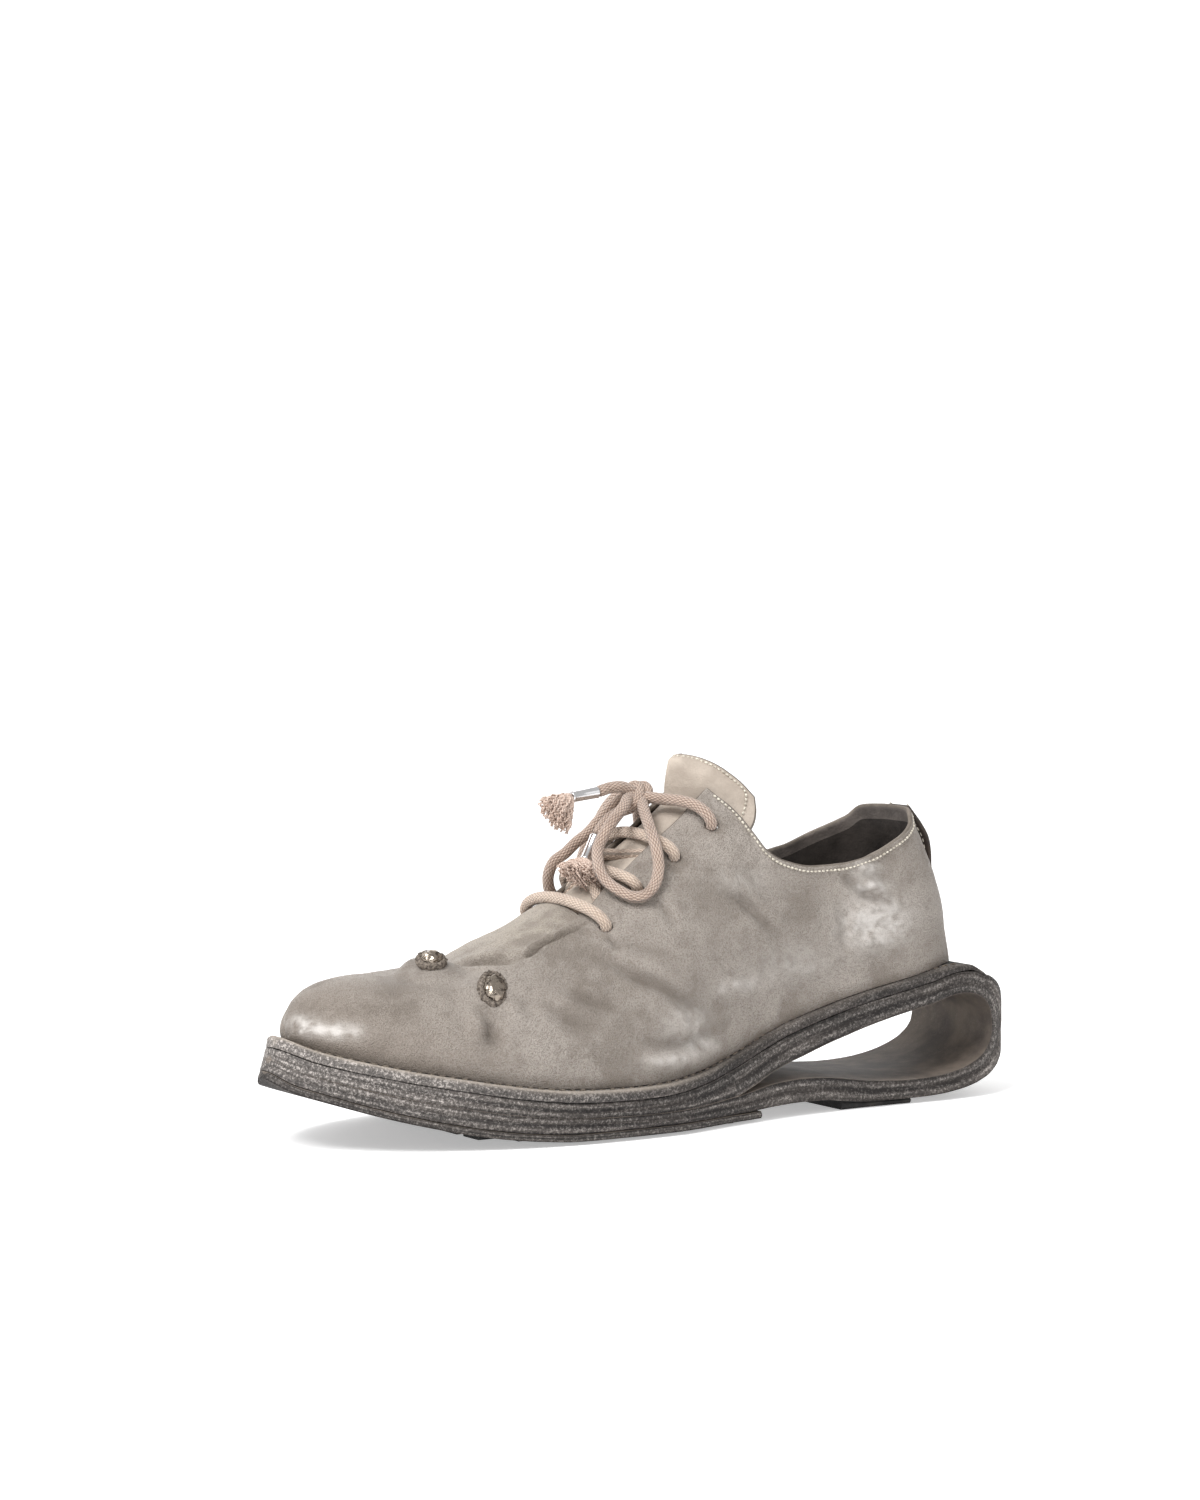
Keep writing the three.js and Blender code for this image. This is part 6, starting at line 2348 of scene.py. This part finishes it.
@dataclass
class Stud:
    """A metal bead in a dark, gritty rim on the toe.

    Attributes:
        name: The CAD node that it stands for.
        along: Its distance from the toe.
        out: Its distance from the middle.
        turn: How far it is turned from the shoe's length.
    """

    name: str
    along: float
    out: float
    turn: float
    length: float = 12.5
    width: float = 8
    height: float = 4
    lift: float = 1.2
    facing: float = 0.45

    def axes(self) -> tuple[Array, Array, Array, Array]:
        """Its middle and its long, cross and upward directions.

        Returns:
            The four, in that order.
        """
        point, normal, forward = LAST.surface(self.along, self.out)
        normal = unit(normal + np.array([0, -self.facing, 0]))
        beside = unit(np.cross(normal, forward))
        ahead = np.cross(beside, normal)
        long = ahead * math.cos(self.turn) + beside * math.sin(self.turn)
        return point + normal * (self.height * 0.2 + self.lift), long, np.cross(normal, long), normal

    def build(self, bead: Material, rim: Material, grit: Material) -> None:
        """Makes the bead, its rim and the grains on the rim.

        Args:
            bead: The bead's finish.
            rim: The rim's finish.
            grit: The grains' finish.
        """
        middle, long, cross, normal = self.axes()
        steep = np.linspace(-math.pi / 2, math.pi / 2, 26)[1:-1]
        around = np.linspace(0, 2 * math.pi, 40, endpoint=False)
        rings = []
        for angle in steep:
            size = math.cos(angle)
            ring = np.outer(np.cos(around) * size * self.length * 0.37, long)
            ring = ring + np.outer(np.sin(around) * size * self.width * 0.36, cross)
            rings.append(middle + ring + normal * (math.sin(angle) * self.height * 0.6 + 0.4))
        rings = np.array(rings)
        lumps = rough_noise(rings.reshape(-1, 3), 2.4, 71, 3).reshape(rings.shape[:2])
        rings = middle + (rings - middle) * (1 + 0.16 * lumps[..., None])
        settle(loft(rings).object(self.name + "_bead", [bead]), "stud", self.name)
        tubes = []
        for angle in around:
            out = np.cos(angle) * long * self.length * 0.42 + np.sin(angle) * cross * self.width * 0.42
            outward = unit(out)
            turn = np.linspace(0, 2 * math.pi, 12, endpoint=False)
            centre = middle + out - normal * 0.9
            lifted = np.outer(np.sin(turn) * 1.5, normal)
            tubes.append(centre + np.outer(np.cos(turn) * 1.35, outward) + lifted)
        closed = np.array(tubes + tubes[:1])
        sheet = loft(closed, capped=False)
        bumps = rough_noise(sheet.points, 1.6, 77, 3)
        centres = closed.mean(axis=1).repeat(12, axis=0)
        sheet.points = centres + (sheet.points - centres) * (1 + 0.28 * bumps[:, None])
        points, _, kept = welded(sheet.points, sheet.faces, 1e-3)
        faces = [tuple(q) for q in kept.tolist()]
        if signed_volume(points, faces) < 0:
            faces = [face[::-1] for face in faces]
        settle(Sheet(points, faces).object(self.name + "_rim", [rim]), "stud")
        repeat = self.grains()
        settle(repeat.run(Sheet(points, faces), self.name + "_grit", grit), "stud")

    def grains(self) -> Repeat:
        """The group that strews grains over the rim.

        Returns:
            The group.
        """

        def build(g: Graph, guide: Socket, numbers: dict) -> Socket:
            """Adds the nodes.

            Args:
                g: The group's graph.
                guide: The guide's socket.
                numbers: The inputs' sockets, by name.

            Returns:
                The shapes' socket.
            """
            seed = numbers["Seed"]
            values = {"Mesh": guide, "Density": numbers["Density"], "Seed": seed}
            spread = g.node("GeometryNodeDistributePointsOnFaces", {}, values)
            grain = g.node("GeometryNodeMeshIcoSphere", {}, {"Radius": numbers["Radius"], "Subdivisions": 2})
            size = g.node("FunctionNodeRandomValue", {"data_type": "FLOAT"}, {2: 0.5, 3: 1.4, "Seed": seed})
            full = {"data_type": "FLOAT_VECTOR"}
            ends = {0: (0.0, 0.0, 0.0), 1: (6.28, 6.28, 6.28), "Seed": seed}
            turn = g.node("FunctionNodeRandomValue", full, ends)
            values = {"Points": spread.outputs[0], "Instance": grain.outputs[0], "Rotation": turn.outputs[0]}
            values["Scale"] = size.outputs[1]
            return g.node("GeometryNodeInstanceOnPoints", {}, values).outputs[0]

        return Repeat("rim_grains", {"Density": 2.2e6, "Radius": 0.00026, "Seed": 9}, build)


# Laces


Row = tuple[float, float, float]
Hole = tuple[float, float]


@dataclass
class Laces:
    """The lace: three bars across the throat, crossings under them, a bow, aglets and tassels.

    Rows give the distance along as a share of the sole's length, the distance out as a share of
    the ball's half width, and the height over the leather in lace radii.
    """

    radius: float = 2.2
    aglet_radius: float = 2.1
    bar_sag: float = 4.2
    yarns: int = 340
    knot: Row = (0.523, 0.047, 4.0)
    bar: tuple[Row, ...] = (
        (1, -1.6, 0), (1, -0.72, 0), (0.99, 0.5, 0), (0.92, 1.3, 0.2),
        (0.78, 1.35, 0.5), (0.45, 0.85, 0.9), (0, 0.6, 1),
    )
    near_top: tuple[Row, ...] = (
        (0.557, -0.44, -1.9), (0.557, -0.44, -0.72), (0.557, -0.436, 0.5), (0.555, -0.405, 1.45),
        (0.55, -0.34, 1.8), (0.541, -0.23, 1.8), (0.533, -0.11, 2.1), (0.526, -0.01, 3.3),
    )
    far_top: tuple[Row, ...] = (
        (0.523, 0.047, 4.0), (0.527, 0.11, 3.5), (0.536, 0.2, 2.2), (0.547, 0.33, 1.8),
        (0.555, 0.405, 1.45), (0.557, 0.436, 0.5), (0.557, 0.44, -0.72), (0.557, 0.44, -1.9),
    )
    near_loop: tuple[Row, ...] = (
        (0.523, 0.047, 4.0), (0.518, -0.03, 3.4), (0.507, -0.148, 3.3), (0.494, -0.307, 3.8),
        (0.486, -0.41, 3.3), (0.48, -0.472, 1.9), (0.469, -0.523, 1.24), (0.454, -0.538, 1.23),
        (0.442, -0.506, 1.27), (0.433, -0.431, 1.5), (0.428, -0.338, 2.3), (0.429, -0.277, 3.4),
        (0.438, -0.19, 3.9), (0.447, -0.145, 4.5), (0.46, -0.14, 5.56), (0.477, -0.123, 6.06),
        (0.498, -0.064, 5.61), (0.512, 0.02, 5.1), (0.521, 0.045, 4.6),
    )
    fore_end: tuple[Row, ...] = (
        (0.521, 0.045, 5.44), (0.516, 0.042, 6.97), (0.505, 0.041, 8.37), (0.493, 0.04, 9.27),
    )
    far_loop: tuple[Row, ...] = (
        (0.521, 0.06, 4.6), (0.514, 0.08, 4.9), (0.503, 0.13, 4.9), (0.492, 0.2, 4.3),
        (0.479, 0.252, 3.9), (0.465, 0.28, 4.02), (0.452, 0.301, 3.86), (0.442, 0.339, 4.1),
        (0.436, 0.41, 3.3), (0.44, 0.49, 1.8), (0.456, 0.53, 1.4), (0.473, 0.5, 2.0),
        (0.489, 0.41, 3.8), (0.503, 0.33, 4.6), (0.514, 0.24, 5.2), (0.521, 0.15, 5.2),
        (0.523, 0.08, 4.6),
    )
    low_end: tuple[Row, ...] = (
        (0.521, 0.055, 3.4), (0.514, 0.055, 3.0), (0.497, 0.05, 4.1), (0.48, 0.03, 4.6), (0.461, -0.022, 4.6),
    )
    fore_aglet: tuple[Row, ...] = ((0.4905, 0.04, 9.4), (0.465, 0.038, 12.0))
    low_aglet: tuple[Row, ...] = ((0.458, -0.034, 4.62), (0.432, -0.085, 3.33))

    def places(self, rows: Sequence[Row]) -> Array:
        """Points over the leather.

        Args:
            rows: How far along and out, and the lift in radii.

        Returns:
            Points in millimetres.
        """
        made = []
        for along, out, lift in rows:
            point, normal, _ = LAST.surface(along * LAST.length, out * LAST.ball)
            made.append(point + normal * lift * self.radius)
        return np.array(made)

    def bar_rows(self, hole: Hole, flip: int) -> list[Row]:
        """A bar from one hole of a pair to the other, from the side with the sign flip.

        Args:
            hole: The hole's distances along and out.
            flip: The sign of the side where it starts.

        Returns:
            Rows for places.
        """
        half = [(hole[0] - self.bar_sag * sag, out * hole[1], lift) for out, lift, sag in self.bar]
        rows = [(a, flip * o, lift) for a, o, lift in half]
        rows += [(a, -flip * o, lift) for a, o, lift in half[:-1][::-1]]
        return [(a / LAST.length, o / LAST.ball, lift) for a, o, lift in rows]

    def build_run(self, holes: Sequence[Hole], material: Material) -> Piece:
        """Makes the bars and the crossings under the facings as one length of lace.

        Args:
            holes: The lace holes' distances along and out, from the lowest pair up.
            material: The lace's finish.

        Returns:
            The piece.
        """
        parts = [
            self.places([*self.bar_rows(holes[1], 1)[::-1]]),
            self.inside(holes[1], 1, holes[0], -1),
            self.places(self.bar_rows(holes[0], -1)),
            self.inside(holes[0], 1, holes[2], -1),
            self.places(self.bar_rows(holes[2], -1)),
        ]
        path = spline(np.vstack(parts), 0.7)
        made = tube(path, self.radius).object("lace_run", [material])
        return settle(made, "lace", "lace_bar_low", "lace_bar_mid", "lace_bar_high")

    def inside(self, start: Hole, from_side: int, end: Hole, to_side: int) -> Array:
        """The crossing on the tongue from one hole to another.

        Args:
            start: The first hole's distances along and out.
            from_side: The sign of the first hole's side.
            end: The last hole's distances along and out.
            to_side: The sign of the last hole's side.

        Returns:
            Points of the crossing.
        """
        rows = []
        for share, lift in ((0.2, -1.55), (0.36, -0.6), (0.5, 0.9), (0.64, -0.6), (0.8, -1.55)):
            along = start[0] + (end[0] - start[0]) * share
            out = from_side * start[1] + (to_side * end[1] - from_side * start[1]) * share
            rows.append((along / LAST.length, out / LAST.ball, lift))
        return self.places(rows)

    def build_knot(self, material: Material) -> Piece:
        """Makes the two strands from the top holes and the turns of lace that tie the bow.

        Args:
            material: Its finish.

        Returns:
            The piece.
        """
        near = tube(spline(self.places(self.near_top), 0.7), self.radius)
        far = tube(spline(self.places(self.far_top), 0.7), self.radius)
        centre = self.places([self.knot])[0]
        turns = []
        for tilt, shift, wide, deep in ((0.25, -1.6, 5.4, 4.3), (-0.35, 1.9, 4.9, 4.0)):
            angles = np.linspace(0.0, 2 * math.pi, 40)
            ring = np.stack([
                shift + np.cos(angles) * wide * 0.55 + np.sin(angles) * tilt,
                np.sin(angles + 0.3) * wide * (0.9 if shift < 0 else 0.8) * 0.75,
                np.sin(angles) * deep * 0.35 + np.cos(angles) * deep * 0.7,
            ], axis=1)
            turns.append(tube(centre + ring, self.radius * 0.98))
        sheet = near.joined(far).joined(turns[0]).joined(turns[1])
        return settle(sheet.object("lace_knot_turns", [material]), "lace", "lace_knot")

    def build_ends(self, lace: Material, metal: Material, yarn: Material) -> None:
        """Args:
            lace: The cord's finish.
            metal: The aglets' finish.
            yarn: The tassels' finish.
        """
        fore, low = self.near_loop + self.fore_end, self.far_loop + self.low_end
        for name, rows, aglet, droop, nodes in (
            ("lace_fore", fore, self.fore_aglet, 0.55, ("lace_loop_near", "lace_end_fore")),
            ("lace_low", low, self.low_aglet, 0.2, ("lace_loop_far", "lace_end_low")),
        ):
            path = spline(self.places(rows), 0.7)
            cord = settle(tube(path, self.radius).object(name, [lace]), "lace", *nodes)
            suffix = name.split("_")[1]
            tip = self.places(aglet)
            barrel = self.build_aglet(tip, metal, "aglet_" + suffix)
            tassel = self.build_tassel(tip, droop, yarn, "tassel_" + suffix)

    def build_aglet(self, tip: Array, metal: Material, node: str) -> Piece:
        """Makes a metal barrel with rolled ends.

        Args:
            tip: The two ends of the aglet's middle line.
            metal: The aglets' finish.
            node: The CAD node that it stands for.

        Returns:
            The piece.
        """
        ahead = unit(tip[1] - tip[0])
        side = unit(np.cross(ahead, [0.2, 1, 0.1]))
        other = np.cross(ahead, side)
        length = np.linalg.norm(tip[1] - tip[0])
        around = np.linspace(0, 2 * math.pi, 32, endpoint=False)
        circle = np.outer(np.cos(around), side) + np.outer(np.sin(around), other)
        profile = [
            (0.3, 0.72), (0.0, 0.8), (0.0, 0.98), (0.25, 1.06), (0.6, 1.06), (0.85, 1.0),
            (length * 0.5, 0.99),
            (length - 0.85, 1.0), (length - 0.6, 1.06), (length - 0.25, 1.06), (length, 0.98), (length, 0.8),
            (length - 0.3, 0.72),
        ]
        rings = np.array([tip[0] + ahead * run + circle * size * self.aglet_radius for run, size in profile])
        return settle(loft(rings).object(node + "_barrel", [metal], 40), "aglet", node)

    def build_tassel(self, tip: Array, droop: float, yarn: Material, node: str) -> Piece:
        """Makes a tassel of crimped yarn that fans out from the aglet's end.

        Args:
            tip: The two ends of the aglet's middle line.
            droop: How far it hangs down, as a share.
            yarn: The tassels' finish.
            node: The CAD node that it stands for.

        Returns:
            The piece.
        """
        ahead = unit(tip[1] - tip[0])
        aimed = unit(ahead + np.array([0, 0, -droop]))
        side = unit(np.cross(aimed, [0, 1, 0]))
        other = np.cross(aimed, side)
        chance = np.random.default_rng(17 if "fore" in node else 23)
        lines = []
        ball = "low" in node
        for _ in range(self.yarns):
            spread = math.sqrt(chance.random()) * (1.9 if ball else 0.8)
            angle = chance.random() * 2 * math.pi
            aim = unit(aimed + side * math.cos(angle) * spread + other * math.sin(angle) * spread)
            reach = (8 if ball else 10.5) * (0.75 + 0.35 * chance.random())
            start = tip[1] + (side * math.cos(angle) + other * math.sin(angle)) * min(spread, 1) * 1.6
            steps = np.linspace(0, 1, 14)
            phase = chance.random() * 6.28
            curl = np.sin(steps * 17 + phase)[:, None] * side + np.cos(steps * 15 + phase)[:, None] * other
            run = start + aim * (steps * reach)[:, None] + curl * (0.75 if ball else 0.45)
            run[:, 2] -= steps**2 * 1.8
            lines.append(run)
        guide, edges = lines_guide(lines)

        def build(g: Graph, line: Socket, numbers: dict) -> Socket:
            """Adds the nodes.

            Args:
                g: The group's graph.
                line: The guide's socket.
                numbers: The inputs' sockets, by name.

            Returns:
                The shapes' socket.
            """
            curve = g.node("GeometryNodeMeshToCurve", {}, {0: line}).outputs[0]
            sides = {"Resolution": 5, "Radius": numbers["Radius"]}
            ring = g.node("GeometryNodeCurvePrimitiveCircle", {}, sides)
            values = {"Curve": curve, "Profile Curve": ring.outputs[0], "Fill Caps": True}
            return g.node("GeometryNodeCurveToMesh", {}, values).outputs[0]

        repeat = Repeat("yarn", {"Radius": 0.0003}, build)
        return settle(repeat.run(guide, node + "_yarn", yarn, edges), "lace", node)


# The studio


@dataclass(frozen=True)
class Studio:
    """The photograph's camera, a pale floor and soft light."""

    eye: tuple[float, float, float] = (-0.8411, -1.3505, 0.2405)
    tilt: float = 86.25
    turn: float = -31.42
    lens: float = 103.2

    def place_camera(self) -> None:
        """Sets the camera."""
        data = bpy.data.cameras.new("camera")
        data.lens = self.lens
        data.sensor_width = 36
        data.clip_end = 20
        camera = bpy.data.objects.new("camera", data)
        camera.location = self.eye
        camera.rotation_euler = (math.radians(self.tilt), 0, math.radians(self.turn))
        bpy.context.scene.collection.objects.link(camera)
        bpy.context.scene.camera = camera

    def light(self) -> None:
        """Sets the world, the floor and the lamps."""
        scene = bpy.context.scene
        scene.view_settings.view_transform = "Standard"
        world = bpy.data.worlds.new("studio")
        world.use_nodes = True
        world.node_tree.nodes.clear()
        graph = Graph(world.node_tree)
        sky = graph.node("ShaderNodeBackground", {}, {"Color": (1.0, 1.0, 1.0), "Strength": 0.6})
        graph.node("ShaderNodeOutputWorld", {}, {"Surface": sky.outputs[0]})
        scene.world = world
        reach = 6000
        corners = [(-reach, -reach, 0), (reach, -reach, 0), (reach, reach, 0), (-reach, reach, 0)]
        floor = Sheet(np.array(corners), [(0, 1, 2, 3)])

        def build(g: Graph) -> dict:
            """Adds the nodes."""
            paper = g.noise(g.place(), 9, 2)
            return {"Base Color": g.mix(paper, tone(236, 236, 236), tone(240, 240, 240))}

        paper = finish(
            "floor_paper", build, Roughness=0.9, Specular_IOR_Level=0.1, Emission_Strength=0.4,
            Emission_Color=(1.0, 1.0, 1.0),
        )
        made = floor.object("floor", [paper])
        far = np.array([(-3500, 4200, -10), (6500, 2200, -10), (6500, 2200, 3200), (-3500, 4200, 3200)])

        def glow(g: Graph) -> dict:
            """Adds the nodes."""
            cloth = g.noise(g.place(), 2, 2)
            return {"Base Color": g.mix(cloth, tone(250, 250, 250), tone(252, 252, 252))}

        white = finish(
            "backdrop", glow, Roughness=1.0, Emission_Strength=1.05, Emission_Color=(1.0, 1.0, 1.0)
        )
        backdrop = Sheet(far, [(0, 1, 2, 3)]).object("backdrop", [white])
        self.lamp("key", (-1.1, -0.4, 1.5), 0.9, 34)
        self.lamp("fill", (0.4, -1.6, 0.9), 1.2, 2.4)

    def lamp(self, name: str, place: tuple[float, float, float], size: float, power: float) -> None:
        """A square soft lamp aimed at the shoe.

        Args:
            name: Its name.
            place: Where it stands, in metres.
            size: Its side in metres.
            power: Its power in watts.
        """
        data = bpy.data.lights.new(name, "AREA")
        data.size = size
        data.energy = power
        made = bpy.data.objects.new(name, data)
        made.location = place
        made.rotation_euler = (Vector((0, 0, 0.05)) - Vector(place)).to_track_quat("-Z", "Y").to_euler()
        bpy.context.scene.collection.objects.link(made)


def main() -> None:
    """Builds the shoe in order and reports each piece."""
    logging.basicConfig(level=logging.INFO, format="%(name)s: %(message)s")
    studio = Studio()
    studio.place_camera()
    upper = Upper()
    braid = Braid().material()
    thread = Thread().material()
    laces = Laces()
    chrome = Metal("aglet_metal", tone(226, 225, 226), tone(120, 118, 118), rough=0.12, wear=0.12)
    yarn = Thread("yarn", tone(222, 203, 190), tone(178, 155, 142))
    laces.build_ends(braid, chrome.material(), yarn.material())
    laces.build_run(upper.holes, Braid("pale_braid", tone(230, 211, 193), tone(172, 148, 132)).material())
    laces.build_knot(braid)
    LOG.info("laces")
    stack = SoleStack().material()
    sole = Sole()
    sole.build_stack(stack)
    sole.build_tread(Rubber().material(), stack)
    LOG.info("sole")
    welt = Welt()
    welt.build(stack)
    welt.build_stitches(Thread("waxed_thread", tone(128, 118, 106), tone(78, 70, 62)).material())
    LOG.info("welt")
    leather = AgedLeather().material()
    lining = PlainLeather("lining", tone(74, 68, 64), tone(48, 44, 42), rough=0.8).material()
    rim = PlainLeather("cut_edge", tone(134, 125, 116), tone(100, 92, 84), rough=0.8).material()
    binding = PlainLeather("binding", tone(124, 116, 111), tone(92, 86, 82), rough=0.75).material()
    upper.build([leather, lining, rim, binding])
    upper.build_stitches(thread)
    LOG.info("upper")
    tongue = Tongue()
    tongue.build(PlainLeather("tongue_hide", tone(196, 184, 171), tone(166, 154, 142)).material(), rim)
    tongue.build_stitches(thread)
    Insole().build(PlainLeather("insole_hide", tone(150, 132, 112), tone(110, 94, 78)).material())
    strap = PullStrap()
    strap.build(PlainLeather("strap_hide", tone(70, 60, 54), tone(42, 36, 34)).material())
    strap.build_stitches(thread)
    bead = Metal("bead", tone(158, 147, 135), tone(62, 54, 48), rough=0.2, wear=0.9).material()
    burnt = PlainLeather("burnt_rim", tone(146, 135, 124), tone(74, 66, 59), spread=900, grain=0.0004)
    burr = burnt.material()
    for stud in (
        Stud("near_stud", 0.2476 * LAST.length, -28.2, 0.36 * math.pi, 15.5, 10.5, lift=1.6),
        Stud("far_stud", 0.205 * LAST.length, -7, math.pi / 12, 11, 10, lift=3.8, facing=0.35),
    ):
        stud.build(bead, burr, burr)
    LOG.info("fittings")
    studio.light()


if __name__ == "__main__":
    main()
